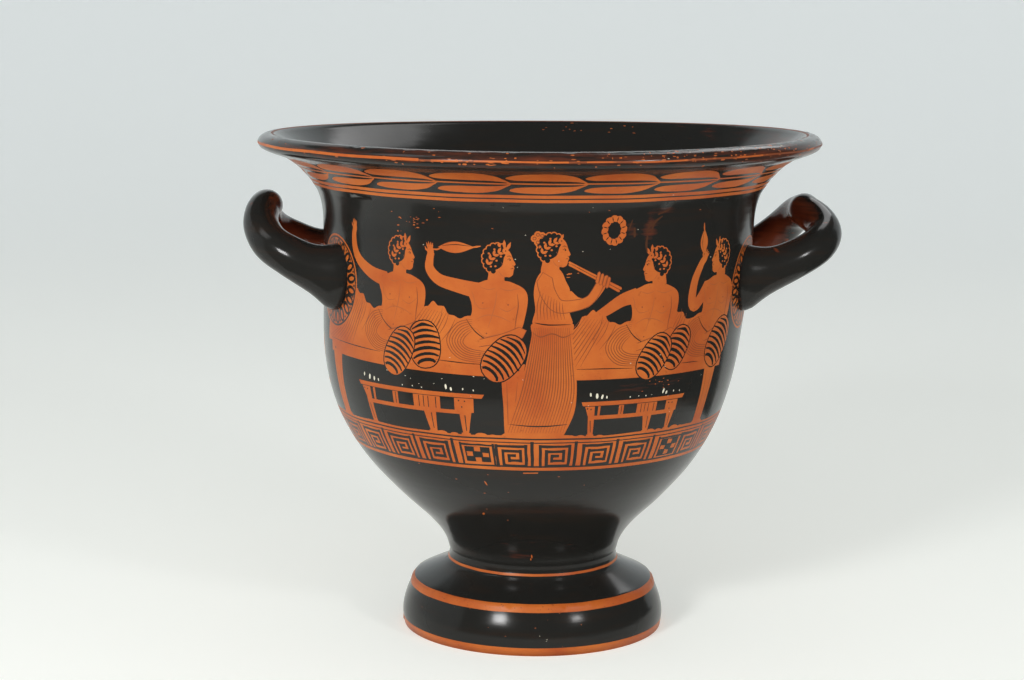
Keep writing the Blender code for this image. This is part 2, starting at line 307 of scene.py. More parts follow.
def head(x, z, flip, turn=0.0, bun=False):
    """A head in profile, with curls under a wreath of leaves, or tied up in a bun."""
    pen = Brush(x, z, flip, turn)
    curls = []
    for k in range(10):
        u, w = on_oval(66 + 21 * k, 7.5, 7.8)
        curls.append((-1.5 + u, 1.6 + w))
    if bun:
        curls += [(-10.2, 4.4), (-12.4, 6.6), (-10.6, 9.0), (-8.0, 8.6), (-8.6, 1.8)]
    for u, w in curls:
        pen.oval(CLAY, u, w, 4.6, 4.6, corners=9)
    pen.blob(CLAY, [
        (3.0, 8.6), (6.4, 5.8), (7.9, 2.6), (8.6, 1.0), (10.0, -1.5), (8.9, -2.7), (9.3, -3.9), (8.8, -5.4),
        (8.4, -7.9), (6.2, -9.4), (3.4, -9.4), (3.2, -14), (-6.2, -14), (-6.4, -7), (-8.0, -4.0), (-8.6, 1),
        (-8.0, 6.0), (-4.6, 9.0), (-0.4, 9.6),
    ])
    for u, w in curls[:10]:
        pen.oval(GLOSS, u, w, 3.2, 3.2, corners=8)
    for u, w in curls[10:]:
        pen.oval(WASH, u, w, 2.6, 2.4, corners=7)
    pen.blob(GLOSS, [
        (3.4, 7.8), (4.2, 5.2), (2.8, 2.2), (2.2, -1.6), (0.2, -4.0), (-3.4, -5.4), (-6.6, -4.6),
        (-8.3, -1.6), (-8.4, 2.6), (-7.0, 6.6), (-3.4, 8.8), (0.4, 9.2),
    ])
    for u, w in ((-5.0, -3.2), (-1.6, 0.4), (-2.2, -3.0), (-6.4, 4.6), (-3.0, 7.2), (1.0, 3.0), *curls[10:]):
        pen.oval(CLAY, u, w, 1.5, 1.3, corners=6)
    for u, w, way in ((-7.0, -2.2, 66), (-5.6, 0.8, 54), (-3.6, 3.4, 42), (-1.0, 5.2, 24), (1.8, 6.0, 10)):
        for lean in (-34, 34):
            pen.leaf(CLAY, u, w, 3.8, 1.9, way + lean)
    if bun:
        pen.leaf(CLAY, 3.4, 7.0, 3.8, 1.8, 74)
    else:
        for u, w, reach, way in ((4.4, 6.4, 6.0, 66), (3.0, 7.6, 5.6, 92), (0.6, 8.4, 3.4, 118)):
            pen.leaf(CLAY, u, w, reach, 2.1, way)
    pen.lines(LINE, 0.42, [(4.6, 2.9), (6.0, 3.5), (7.6, 2.8)], [(4.9, 1.2), (6.1, 1.8), (7.3, 1.0)])
    pen.oval(LINE, 6.6, 1.0, 0.9, 0.9, corners=6)
    pen.lines(LINE, 0.4, [(7.2, -4.3), (8.0, -4.0), (8.9, -4.2)], [(8.2, -2.3), (8.9, -2.6)])
    pen.line(WASH, [(1.2, -0.4), (2.2, -1.6), (1.4, -3.0)], 0.5)
    pen.line(PALE, [(3.4, -9.2), (1.4, -8.0), (-0.4, -5.6)], 0.5)


def fingers(x, z, flip, turn, spread):
    """A small hand: a palm, a thumb and four fingers that open by so many degrees each."""
    pen = Brush(x, z, flip, turn)
    pen.blob(CLAY, [(-1.0, -1.9), (2.2, -2.2), (3.6, -1.8), (4.0, 0), (3.6, 1.8), (2.2, 2.1), (-1.0, 1.9)])
    for k in range(4):
        reach = 3.6 - 0.5 * abs(k - 1)
        u, w = on_oval(spread * (1.5 - k), reach, reach)
        root = 1.35 - 0.9 * k
        pen.line(CLAY, [(2.6, root), (3.4 + u, root + w)], 1.15)
    pen.line(CLAY, [(0.8, 1.4), (2.6, 3.0), (4.2, 3.5)], 1.2)


CUSHION_CORNERS = 28
CUSHION_PLUMPNESS = 0.84


def cushion(x, z, length, width, turn, stripes):
    """A plump cushion with dark stripes across it."""
    pen = Brush(x, z, 1, turn)
    ring = []
    for k in range(CUSHION_CORNERS):
        corner = on_oval(360 * (k + 0.5) / CUSHION_CORNERS, 1, 1)
        u, w = (math.copysign(abs(c) ** CUSHION_PLUMPNESS, c) for c in corner)
        ring.append((length / 2 * u, width / 2 * w))
    pen.shape(GLOSS, [(u * (1 + 1.5 / length), w * (1 + 1.5 / width)) for u, w in ring])
    pen.shape(CLAY, ring)
    for k in range(stripes):
        at = -0.88 + 1.76 * (k + 0.5) / stripes
        half = (0.46 if k % 2 else 0.54) / stripes
        edges = []
        for way in (-1, 1):
            for step in range(7):
                across = (-1 + 2 * step / 6) * way
                stripe = at + way * half * (1.0 - 0.5 * across**2) + 0.16 * (1 - across**2) - 0.06
                reach = math.sqrt(max(0.0, 1 - stripe**2)) * 1.02
                edges.append((stripe * length / 2, across * reach * width / 2))
        pen.shape(GLOSS, edges)


def banqueter(x, z, flip, tilt, raised, grip, knee, feet):
    """A figure leaning on one elbow, legs under a cloak to the left, bare chest to the right."""
    pen = Brush(x, z)
    pen.blob(CLAY, [
        (feet, 0), (feet, 0), (feet + 2, knee * 0.34), (feet + 9, knee * 0.52), (-50, knee * 0.72),
        (-46, knee * 0.93), (-43, knee * 0.95), (-39.5, knee * 1.05), (-36, knee * 0.97), (-32, knee * 0.97),
        (-29, knee * 0.84), (-25, knee * 0.82), (-21, 27), (-16, 29), (-6, 28), (6, 24), (14, 17), (18, 8),
        (18, 0), (18, 0),
    ])
    pen.limb(*raised)
    fingers(x + grip[0], z + grip[1], *grip[2:])
    pen.blob(CLAY, [
        (-15, 47.0), (-16.6, 43), (-14.2, 37), (-13.6, 31), (-16, 24), (-15, 14), (-2, 9), (10, 12), (17, 20),
        (19.6, 31), (20.2, 41), (17.6, 46.4), (11, 49.8), (6, 51), (-4, 51.4), (-9, 49.8),
    ])
    head(x + (2 if flip > 0 else 1), z + 62.6, flip, tilt)
    pen.folds(
        WASH, 0.5, 7,
        [(-13, 27), (-23, 24), (-29, 13), (-20, 2.6), (0, 0.8)],
        [(-13, 20), (-17, 16), (-18, 12), (-12, 8.6), (3, 7.4)],
    )
    pen.folds(
        WASH, 0.5, 9,
        [(-30, 30), (-35, 20), (-40, 10), (-44, 2)],
        [(-46, 32), (-54, 21), (-62, 11), (max(feet + 5, -80), 3)],
    )
    pen.folds(WASH, 0.5, 3, [(-24, 27), (-27, 20), (-33, 12)], [(-33, 33), (-34, 26), (-38, 18)])
    pen.lines(
        PALE, 0.55,
        [(-9.6, 47.0), (-4, 45.4), (0.6, 46.6)], [(2.4, 46.8), (8, 45.2), (15, 46.8)],
        [(-12.2, 38), (-8.6, 33.8), (-2.2, 34.6)], [(3.0, 34.8), (8.6, 32.6), (14.2, 36.6)],
        [(1.2, 44.6), (0.8, 38), (-0.6, 30.6), (-3.0, 22)], [(-10.6, 27), (-4, 30), (4, 29), (11.4, 25.8)],
        [(-10, 21.6), (-4.4, 16.6), (4.6, 19.4)], [(-14.4, 44), (-12.6, 40), (-12.2, 36)],
    )
    for u, w in ((-7.0, 37.2), (8.6, 36.6), (-3.6, 18.8)):
        pen.oval(WASH, u, w, 1.1, 1.0, corners=6)
    pen.line(LINE, [(-17, 27), (-10, 19), (2, 13), (12, 15), (16, 21)], 0.6)
    pen.line(WASH, [(13.8, 43), (14.8, 36), (14.0, 28), (13.6, 21)], 0.6)
    pen.limb([(17.5, 20), (8, 16.4), (-2, 14.0), (-8, 12.6)], [6.6, 5.6, 4.4, 4.0], edge=WASH)
    fingers(x - 7.4, z + 12.7, -1, 8, 7)


def table(x, z, width, height):
    """A low table on three legs, its rail joined to the top by posts, with small white cakes on it."""
    pen = Brush(x, z)
    half = width / 2
    rail = height * 0.58

    def board(colour, left, right, low_left, low_right, high, low):
        """A board seen from the side, placed by shares of the width along the table."""
        pen.shape(colour, [
            (width * left - half, high), (width * right - half, high),
            (width * low_right - half, low), (width * low_left - half, low),
        ])

    board(CLAY, 0.0, 1.0, 0.015, 0.985, height, height - 2.6)
    board(CLAY, 0.03, 0.115, 0.065, 0.120, height - 2.2, height - 9.5)
    board(CLAY, 0.065, 0.120, 0.080, 0.125, height - 9.3, 1.0)
    board(CLAY, 0.070, 0.130, 0.060, 0.145, 1.6, -1.4)
    board(CLAY, 0.09, 0.88, 0.09, 0.88, rail + 0.6, rail - 1.9)
    for left, right in ((0.145, 0.165), (0.33, 0.375), (0.50, 0.70), (0.80, 0.93)):
        board(CLAY, left, right, left, right, height - 2.4, rail - 0.6)
    for share in (0.352, 0.54, 0.575, 0.61, 0.665):
        board(LINE, share, share + 0.006, share, share + 0.006, height - 3.4, rail + 0.8)
    for leg, shoe in (
        ((0.57, 0.665, 0.605, 0.655), (0.595, 0.665, 0.585, 0.675)),
        ((0.83, 0.915, 0.845, 0.885), (0.835, 0.895, 0.825, 0.905)),
    ):
        board(CLAY, *leg, rail, 1.0)
        board(CLAY, *shoe, 1.6, -1.4)
    for left, right in ((0.085, 0.100), (0.625, 0.630), (0.865, 0.868)):
        board(LINE, left, left + 0.007, right, right + 0.006, rail - 2.5, 3.0)
    for share, down in ((0.055, 4.4), (0.085, 4.8), (0.83, 4.6), (0.87, 4.8), (0.85, 8.6)):
        pen.oval(LINE, width * share - half, height - down, 1.1, 1.1, corners=6)
    board(LINE, 0.02, 0.98, 0.02, 0.98, height - 2.6, height - 3.0)
    for share, up, wide, high in (
        (0.07, 4.6, 1.2, 2.6), (0.125, 3.6, 1.8, 3.6), (0.17, 3.0, 1.5, 3.0), (0.21, 2.6, 1.0, 2.0),
        (0.42, 1.8, 0.8, 0.9), (0.50, 2.0, 0.7, 0.8), (0.57, 1.7, 0.9, 0.8), (0.745, 3.6, 1.5, 3.4),
        (0.78, 2.4, 1.4, 2.4), (0.86, 2.8, 0.9, 1.4), (0.93, 2.4, 0.8, 1.2),
    ):
        pen.oval(WHITE, width * share - half, height + up, wide, high, hand.uniform(-14, 14), corners=8)
    for share, wide, high in (
        (0.02, 6, 2.4), (0.19, 5, 1.6), (0.69, 8, 3.6), (0.78, 6, 2.6), (0.97, 9, 4.2), (1.05, 6, 2.6),
    ):
        pen.oval(CLAY, width * share - half, 0.2, wide, high, corners=12)


def piper(x, z):
    """A standing figure in a long pleated dress, playing the double pipes."""
    pen = Brush(x, z)
    pen.blob(CLAY, [
        (-10.6, 72), (-11.4, 64), (-13, 50), (-15.8, 36), (-19.8, 20), (-25.4, 3), (-27, -1), (-10, -0.6),
        (2, -1), (10.5, -0.8), (13.5, 2), (19, 16), (19.2, 32), (16.6, 48), (13.5, 64), (12, 72),
    ])
    pen.blob(CLAY, [
        (-10, 70), (-10.4, 80), (-12, 90), (-11, 98), (-8, 103.0), (-4, 105.4), (0, 106.0), (4, 103), (7, 97),
        (9.6, 92), (8.6, 86), (10.6, 78), (11.6, 70),
    ])
    pen.limb([(-2, 102.6), (-1.4, 108)], [9.0, 8.0])
    head(x - 0.8, z + 115.4, 1, -4, bun=True)
    pen.limb([(8, 88), (14, 84), (21, 84.5), (28, 92), (31.6, 98.6)], [8.5, 7.4, 6.2, 5.0, 4.2])
    pen.limb([(8.4, 108.6), (22, 101.6), (41.5, 92.2)], [1.3, 1.5, 1.8])
    pen.line(LINE, [(9.4, 107.8), (22, 100.9), (41.5, 91.3)], 0.5)
    pen.limb([(8.4, 107.1), (22, 100.2), (40.5, 90.7)], [1.1, 1.2, 1.5])
    near_arm = [(-6, 98), (-3.4, 90), (3, 82.4), (13, 82.4), (22.6, 86), (28.6, 96.4)]
    pen.limb(near_arm, [9.0, 8.6, 7.6, 6.4, 5.4, 4.6], edge=WASH)
    for k in range(4):
        pen.limb([(26 + 2.2 * k, 96.6 - 1.0 * k), (27 + 2.2 * k, 102.0 - 1.1 * k)], [1.6, 1.3], edge=WASH)
    pen.line(LINE, [(-10.0, 72), (-2, 70.8), (11.6, 71)], 0.8)
    pen.line(WASH, [(-10.8, 66), (-6, 63.4), (1, 65.4), (8, 63.2), (13.2, 65.4)], 0.7)
    pen.folds(WASH, 0.5, 9, [(-8.6, 74), (-9.4, 82), (-8, 91)], [(8, 74), (6.4, 79), (5.6, 84)])
    pen.folds(
        WASH, 0.6, 20,
        [(-10.0, 69), (-12, 48), (-16.2, 26), (-23.8, 3)],
        [(11.0, 69), (15, 48), (17.6, 26), (12.6, 3)],
    )
    pen.line(LINE, [(-22.6, 8.4), (-8, 7.4), (4, 7.6), (15.0, 8.6)], 0.8)
    pen.shape(CLAY, [(11, -1.6), (11.6, 1.6), (19, 1.2), (24, -0.2), (24, -2)])


def wreath(x, z):
    """A hanging wreath of overlapping leaves."""
    pen = Brush(x, z)
    for turn in range(0, 360, 30):
        pen.oval(CLAY, *on_oval(turn, 6.0, 7.2), 5.8, 3.8, turn + 62, corners=10)
    for turn in range(15, 360, 30):
        pen.line(GLOSS, [on_oval(turn, 4.6, 5.5), on_oval(turn, 7.2, 8.4)], 0.7)
    pen.oval(GLOSS, 0, 0, 7.4, 9.4, corners=14)


def front_picture():
    """Four guests on couches, with a piper between them and low tables in front."""
    pen = Brush()
    pen.shape(CLAY, [(-178, 199), (-18, 195.4), (-18, 188.4), (-178, 191)])
    pen.shape(CLAY, [(10, 194.4), (139, 195.4), (139, 186.6), (10, 187)])
    leg = [
        (-7.5, 197), (8.5, 196), (6.6, 186), (5.0, 170), (4.6, 153), (7, 151.4), (7, 149.6), (-7, 149.6),
        (-7, 151.4), (-5.4, 153), (-5.6, 172), (-6.6, 186),
    ]
    for x, flip, drop in ((-168, 1, 0), (-22, -1, 0), (126, 1, -0.4)):
        Brush(x, drop, flip).shape(CLAY, leg)
        Brush(x, drop, flip).lines(
            WASH, 0.5, [(-3.4, 186), (-2.6, 170), (-3.0, 154)], [(3.4, 186), (2.4, 170), (2.0, 154)],
        )
        pen.oval(LINE, x - 3.4 * flip, 193.4 + drop, 1.8, 1.8, corners=8)
    banqueter(-101.4, 197.4, 1, 0, (
        [(-11, 46), (-24, 49), (-36, 55), (-41.5, 62), (-42.6, 70), (-41.6, 75)],
        [9.6, 8.0, 6.8, 6.0, 5.0, 4.2],
    ), (-41.6, 74, 1, 84, 6), 36, -84)
    banqueter(-36, 196.4, 1, 0, (
        [(-11, 44.6), (-24, 47), (-36, 50), (-42.5, 56), (-42.6, 62), (-41.6, 66)],
        [9.6, 8.2, 7.0, 6.2, 5.2, 4.6],
    ), (-42.0, 65.6, 1, 96, 9), 35, -64)
    banqueter(121, 194.6, -1, 0, (
        [(-11, 46), (-17, 38), (-22, 34), (-25.0, 38), (-24, 50), (-19, 60), (-16, 63)],
        [8.6, 8.0, 7.6, 7.0, 6.2, 5.0, 4.4],
    ), (-17, 61.8, 1, 60, 8), 32, -60)
    banqueter(64, 193.4, -1, -6, (
        [(-12, 44.4), (-21, 42), (-31, 36), (-38, 32)], [9.6, 8.0, 6.4, 4.6]
    ), (-37, 32.6, -1, -38, 6), 35, -74)
    for x, z, reach, turn in ((-73, 266.0, 24, 2), (103.4, 260.0, 16, 93)):
        cup = Brush(x, z, 1, turn)
        cup.leaf(CLAY, 0, 0, reach, 7.0, 0)
        cup.line(CLAY, [(-4.4, -1.0), (-1.0, -1.6), (3, -0.2)], 1.1)
        cup.line(CLAY, [(reach - 2, 0), (reach + 3.6, 0.8)], 1.2)
        cup.line(LINE, [(3, 0.9), (reach * 0.5, 1.6), (reach - 3, 0.7)], 0.5)
    for place in (
        (-80.5, 206, 29, 22, 100, 7), (-100, 200, 32, 20, 62, 8), (-28.0, 200.0, 31, 22, 50, 8),
        (88, 203.6, 28, 18, 66, 7), (70.2, 199.4, 30, 20, 56, 8), (131, 203, 33, 24, 56, 8),
    ):
        cushion(*place)
    pen.lines(
        LINE, 0.6,
        [(-178, 199.4), (-140, 198.6), (-116, 198.0)], [(-72, 197.2), (-58, 196.6), (-46, 196.0)],
        [(18, 193.8), (36, 193.6), (55, 193.0)], [(94, 193.0), (102, 192.8), (110, 192.4)],
    )
    table(-89.6, 150.2, 100, 27)
    table(62.4, 150.2, 79, 22.8)
    piper(-0.4, 150.4)
    wreath(35, 278.0)


def draped_figure(x, z, flip, staff):
    """A standing figure wrapped in a long cloak, as on the backs of such pots."""
    pen = Brush(x, z, flip)
    pen.blob(CLAY, [
        (-12, 2), (-15, 20), (-16, 45), (-17, 70), (-18, 88), (-14, 99), (-6, 104), (4, 104), (11, 100),
        (15, 90), (17, 72), (21, 58), (18, 46), (16, 24), (14, 3), (6, 4), (0, 3), (-6, 4),
    ])
    for u in (-7, 7):
        pen.blob(CLAY, [
            (u - 3, 5), (u - 3, 0), (u - 2, -1.4), (u + 5, -1.4), (u + 10, -1), (u + 8, 1.4), (u + 3, 4),
        ])
    pen.limb([(-1, 100), (1, 110)], [8.0, 7.0])
    head(x + 2 * flip, z + 116, flip, -4)
    pen.folds(LINE, 0.8, 7, [(-13, 97), (-16, 78), (-13, 48), (-12, 8)], [(6, 99), (3, 76), (8, 44), (10, 8)])
    pen.folds(LINE, 0.7, 4, [(12, 96), (2, 84), (-15, 78)], [(17, 72), (4, 58), (-15, 50)])
    pen.line(GLOSS, [(-14, 9), (0, 7), (14, 9)], 1.2)
    if staff:
        pen.line(CLAY, [(26, -1), (27, 60), (28, 104)], 1.6)
        pen.limb([(12, 84), (20, 84), (27, 87)], [6.5, 5.4, 4.2], edge=LINE)
        fingers(x + 26 * flip, z + 87, flip, 20, 4)


def palmette(x, z):
    """A fan of petals over two scrolls, behind each handle."""
    pen = Brush(x, z)
    for k in range(11):
        turn = 90 + (k - 5) * 21
        reach = 36 - 1.9 * abs(k - 5)
        u, w = on_oval(turn, 5, 5)
        pen.leaf(CLAY, u, w + 6, reach, 7.4, turn)
    for colour, width, height in ((CLAY, 13, 12), (GLOSS, 9, 8), (CLAY, 5, 4.4)):
        pen.oval(colour, 0, 6, width, height)
    for flip in (-1, 1):
        scroll = []
        for step in range(24):
            reach = 13.0 - 0.46 * step
            u, w = on_oval(-100 + 25 * step, reach, reach)
            scroll.append((30 + u, 2 + w))
        side = Brush(x, z, flip)
        side.line(CLAY, [(0, -6), (12, -10), *scroll], 1.7)
        for turn, u, w, length in ((62, 46, 8, 26), (20, 44, -6, 18), (100, 34, 16, 20)):
            side.leaf(CLAY, u, w, length, 6.4, turn)


TONGUE_COUNT = 20


def tongues(x, z):
    """A ring of tongues painted on the wall round one root of a handle."""
    pen = Brush(x, z)
    for colour, size in ((CLAY, 60.0), (LINE, 57.4), (CLAY, 55.0), (LINE, 35.6), (CLAY, 33.4)):
        pen.oval(colour, 0, 0, size * 0.98, size, corners=72)
    for k in range(TONGUE_COUNT):
        turn = 360 / TONGUE_COUNT * (k + 0.5) + hand.uniform(-1.6, 1.6)
        pen.oval(LINE, *on_oval(turn, 22.4, 22.4), 10.2, 6.7, turn, corners=14)
        pen.oval(CLAY, *on_oval(turn, 22.9, 22.9), 6.2, 2.7, turn, corners=12)
        pen.oval(LINE, *on_oval(turn + 9, 25.8, 25.8), 1.8, 1.8, corners=6)


def stroke(colour, start, end, width):
    """A straight stroke with blunt ends, drawn by an unsteady hand."""
    (ax, az), (bx, bz) = start, end
    size = math.dist(start, end)
    ux, uz = (bx - ax) / size, (bz - az) / size
    steps = max(1, round(size / 5))
    near, far = [], []
    for step in range(steps + 1):
        t = step / steps * (size + width) - width / 2
        half = width / 2 * hand.uniform(0.82, 1.16)
        drift = hand.uniform(-0.24, 0.24)
        near.append((ax + ux * t - uz * (drift + half), az + uz * t + ux * (drift + half)))
        far.append((ax + ux * t - uz * (drift - half), az + uz * t + ux * (drift - half)))
    paint(colour, near + far[::-1])


def band(colour, low, high, wander=0.0, start=SHEET_LEFT, end=SHEET_RIGHT):
    """A band round the pot, or along a part of it."""
    count = max(4, round(BAND_STEPS * (end - start) / SHEET_WIDTH))
    upper, lower = [], []
    for step in range(count + 1):
        s = start + (end - start) * step / count
        turn = 2 * math.pi * s / SHEET_WIDTH
        drift = wander * math.sin(turn * 5) * math.sin(turn * 13 + 1)
        upper.append((s, high + drift))
        lower.append((s, low + drift))
    painting.append((colour, lower + upper[::-1]))


KEYS_START = -60
KEY_RUNS = 6
KEYS_IN_A_RUN = 4
PANEL_WIDTH = 26.0


def meander():
    """Running keys between lines, in runs of four with a chequered panel before each."""
    repeat = SHEET_WIDTH / KEY_RUNS
    key = (repeat - PANEL_WIDTH) / KEYS_IN_A_RUN
    for colour, low, high, wander in (
        (CLAY, 127.5, 149.9, 0.0), (CLAY, 149.2, 151.0, 0.5), (LINE, 129.6, 130.8, 0.15),
        (LINE, 146.3, 147.0, 0.2), (LINE, 148.6, 149.6, 0.3),
    ):
        band(colour, low, high, wander)
    spiral = [
        (1.0, 130.7), (1.0, 144.3), (21.4, 144.3), (21.4, 130.9), (5.3, 130.9), (5.3, 140.9), (17.5, 140.9),
        (17.5, 134.4), (9.3, 134.4), (9.3, 137.7), (13.4, 137.7),
    ]
    for run in range(KEY_RUNS):
        start = KEYS_START + run * repeat
        for u in (1.2, 24.8):
            stroke(LINE, (start + u, 130.7), (start + u, 144.6), 1.8)
        stroke(LINE, (start + 1, 144.3), (start + 25, 144.3), 1.3)
        stroke(GLOSS, (start + 9.4, 137.6), (start + 16.6, 137.6), 11.0)
        for column, row in ((-1, 0), (1, 0), (0, -1), (0, 1)):
            u, z = start + 13 + 5.8 * column, 137.6 + 3.7 * row
            stroke(CLAY, (u - 0.7, z), (u + 0.7, z), 3.0)
        for k in range(KEYS_IN_A_RUN):
            u = start + PANEL_WIDTH + key * k
            for (ax, az), (bx, bz) in zip(spiral, spiral[1:]):
                stroke(LINE, (u + ax, az), (u + bx, bz), 2.3 if ax == bx else 1.9)
            stroke(LINE, (u + 25.7, 130.7), (u + 25.7, 146.4), 2.3)


LEAVES_START = -66
LEAF_PAIRS = 22


def laurel():
    """A running branch of long leaves in pairs below the lip, all pointing to the right."""
    band(CLAY, 295.3, 297.2, 0.2)
    band(CLAY, 298.0, 300.0, 0.2)
    for k in range(LEAF_PAIRS):
        pen = Brush(LEAVES_START + k * SHEET_WIDTH / LEAF_PAIRS, 307.3)
        pen.blob(CLAY, [
            (-42.5, 3.8), (-38, 5.6), (-30, 6.6), (-18, 6.9), (-8, 5.2), (-3, 2.6), (0.4, 0.2), (-4, 1.3),
            (-12, 1.9), (-25, 2.1), (-38, 2.4),
        ])
        pen.blob(CLAY, [
            (-41.5, -4.4), (-37, -5.6), (-30, -6.1), (-18, -6.2), (-8, -4.6), (-3, -2.2), (0.4, -0.2),
            (-5, -1.3), (-15, -1.8), (-28, -1.9), (-38, -2.6),
        ])
        pen.line(CLAY, [(-42, 0.3), (-21, 0.1), (0, 0)], [0.9, 0.9, 0.9])


def flecks(colour, count, s, z, wide, high, size):
    """Small chips in the slip, scattered round a place on the wall."""
    for _ in range(count):
        at_s, at_z = hand.gauss(s, wide), hand.gauss(z, high)
        across, up = size * hand.uniform(0.5, 2.6), size * hand.uniform(0.4, 1.0)
        chip = []
        for k in range(6):
            u = across * hand.uniform(0.5, 1.0) * math.cos(k)
            chip.append((at_s + u, at_z + up * hand.uniform(0.5, 1.0) * math.sin(k)))
        paint(colour, chip)


for colour, low, high, wander in (
    (CLAY, -1.0, 5.4, 0.0), (CLAY, 27.2, 32.2, 0.1), (CLAY, 44.4, 45.9, 0.08),
    (WASH, 321.6, 322.7, 0.3), (WASH, 329.6, 331.4, 0.0),
):
    band(colour, low, high, wander)
for start, end, low, high in (
    (SHEET_LEFT, -262, 321.5, 322.9), (-250, -66, 321.5, 323.1), (-60, -47, 321.6, 322.8),
    (-40, 2, 321.7, 322.7), (10, 22, 321.8, 322.6), (31, 58, 321.7, 322.5), (86, 104, 321.8, 322.6),
    (150, 158, 321.7, 322.7), (236, SHEET_RIGHT, 321.5, 322.9),
):
    band(CLAY, low, high, 0.3, start, end)
for chips in (
    (CLAY, 46, 74, 324.0, 62, 1.6, 0.55), (CLAY, 50, 104, 328.6, 40, 1.6, 0.60),
    (CLAY, 14, -34, 321.2, 14, 0.8, 0.70), (PALE, 40, 96, 327.0, 46, 1.8, 0.50),
    (WHITE, 7, 96, 327.0, 40, 1.8, 0.40), (PALE, 90, 0, 322.6, 120, 2.4, 0.70),
    (CLAY, 9, -462, 342.0, 20, 5.0, 0.60), (CLAY, 4, -512, 338.0, 6, 3.0, 0.70),
):
    flecks(*chips)
front_picture()
for x, flip, staff in ((375, 1, False), (445, 1, True), (513, -1, False)):
    draped_figure(x - SHEET_WIDTH, 150.6, flip, staff)
quarter = SHEET_WIDTH / 4
ROOT_ASIDE = 51.2
ROOT_UP = 236.4
for way in (-1, 1):
    palmette(way * (quarter + 42), 168)
    for root in (-1, 1):
        tongues(way * quarter + root * ROOT_ASIDE, ROOT_UP)
    Brush(way * quarter, 0).shape(CLAY, [(-46, 256), (46, 256), (46, 218), (-46, 218)])
laurel()
meander()
Brush().shape(CLAY, [(-15.5, 125.2), (-4.2, 125.4), (-4.0, 126.2), (-15.2, 126.0)])
flecks(CLAY, 13, -94, 279.5, 7.0, 3.6, 0.62)
flecks(WASH, 10, -90, 281.0, 8.0, 4.0, 0.60)
for path, widths in (
    ([(57.4, 264), (56.6, 269), (57.2, 274)], [0.8, 1.6, 0.8]), ([(56.6, 276), (58.6, 282)], [1.0, 2.0]),
    ([(60, 276), (61, 281.6), (66, 285.6)], [0.6, 1.8, 0.8]), ([(63, 287), (70, 289.4)], [1.2, 0.6]),
    ([(48.4, 274), (48, 279)], [1.6, 1.0]), ([(44.6, 279), (46, 284)], [1.0, 0.6]),
):
    Brush().line(THIN, path, widths)
for chips in (
    (CLAY, 7, 10, 248.0, 3.4, 2.6, 0.60), (WHITE, 12, 20, 268.0, 46, 18.0, 0.34),
    (CLAY, 8, -10, 288.0, 90, 6.0, 0.45), (WHITE, 14, -70, 182.0, 30, 8.0, 0.32),
    (WHITE, 10, 60, 178.0, 24, 8.0, 0.32), (CLAY, 12, 78, 181.0, 8.0, 2.4, 0.42),
    (PALE, 9, 0, 112.0, 80, 10.0, 0.50), (PALE, 12, 0, 15.0, 110, 6.0, 0.55),
    (WASH, 70, 0, 29.6, 150, 1.3, 0.50), (WHITE, 3, 4, 12.0, 6, 1.6, 0.45),
):
    flecks(*chips)
for chip in ((-12, 58, 2.2, 3.0), (-13.5, 56, 1.6, 1.8), (-60, 92, 3.4, 1.4), (-46, 117, 1.2, 3.6)):
    Brush().oval(CLAY, *chip, 24, corners=7)


# Laying the painting round the pot. The flat sheet covers the whole profile, from the middle of the
# foot's hollow out, up and over the lip and down inside. It is cut along the painted outlines, so each
# one stays sharp, and then curved round the wheel's axis.
UNDERSIDE, LOWER, FRONT, BACK, MOUTH_FRONT, MOUTH_BACK, INSIDE = range(7)
PICTURE_LOW = 122.0
PICTURE_HIGH = 301.0
MOUTH_DEPTH = 34.0
RING_SPACING = 0.7
CELL = 1.6
CUT_TOLERANCE = 0.01
SEAM_TOLERANCE = 0.00001
MAP_BANDS = np.array((
    (0.000, 0.040), (0.044, 0.180), (0.184, 0.540), (0.544, 0.740), (0.744, 0.840), (0.844, 0.900),
    (0.904, 1.000),
))


def up_the_side(height):
    """How far along the profile a height lies, in millimetres. Above the lip's top it runs on down inside."""
    beyond = np.maximum(0, np.subtract(height, outer_heights[-1]))
    return np.interp(height, outer_heights, outer_along) + beyond


total = along[-1] * 1000
mouth_inner = along[lip_at] * 1000 + MOUTH_DEPTH
rows = [0.0]
for place in along[1:-1] * 1000:
    if place - rows[-1] > RING_SPACING:
        rows.append(float(place))
rows.append(total)
cuts = [*(float(up_the_side(height)) for height in (-1.0, PICTURE_LOW, PICTURE_HIGH)), mouth_inner]
outlines = [
    (colour, np.column_stack(([s for s, _ in outline], up_the_side([z for _, z in outline]))))
    for colour, outline in painting
]
underside = [(SHEET_LEFT, 0), (SHEET_RIGHT, 0), (SHEET_RIGHT, cuts[0]), (SHEET_LEFT, cuts[0])]
outlines.append((CLAY, np.array(underside)))

points, edges, taken = [], [], set()


def cell_of(s, v):
    """The cell of a coarse grid over the sheet that a point is in."""
    return math.floor(s / CELL), math.floor(v / CELL)


def cut_along(path, spacing=4.0):
    """Adds a cut through the sheet, with points close enough to follow the curve of the pot."""
    for (ax, ay), (bx, by) in zip(path, path[1:]):
        steps = max(1, math.ceil(math.hypot(bx - ax, by - ay) / spacing))
        for step in range(steps):
            share = step / steps
            points.append((float(ax + (bx - ax) * share), float(ay + (by - ay) * share)))
            edges.append((len(points) - 1, len(points)))
    points.append((float(path[-1][0]), float(path[-1][1])))


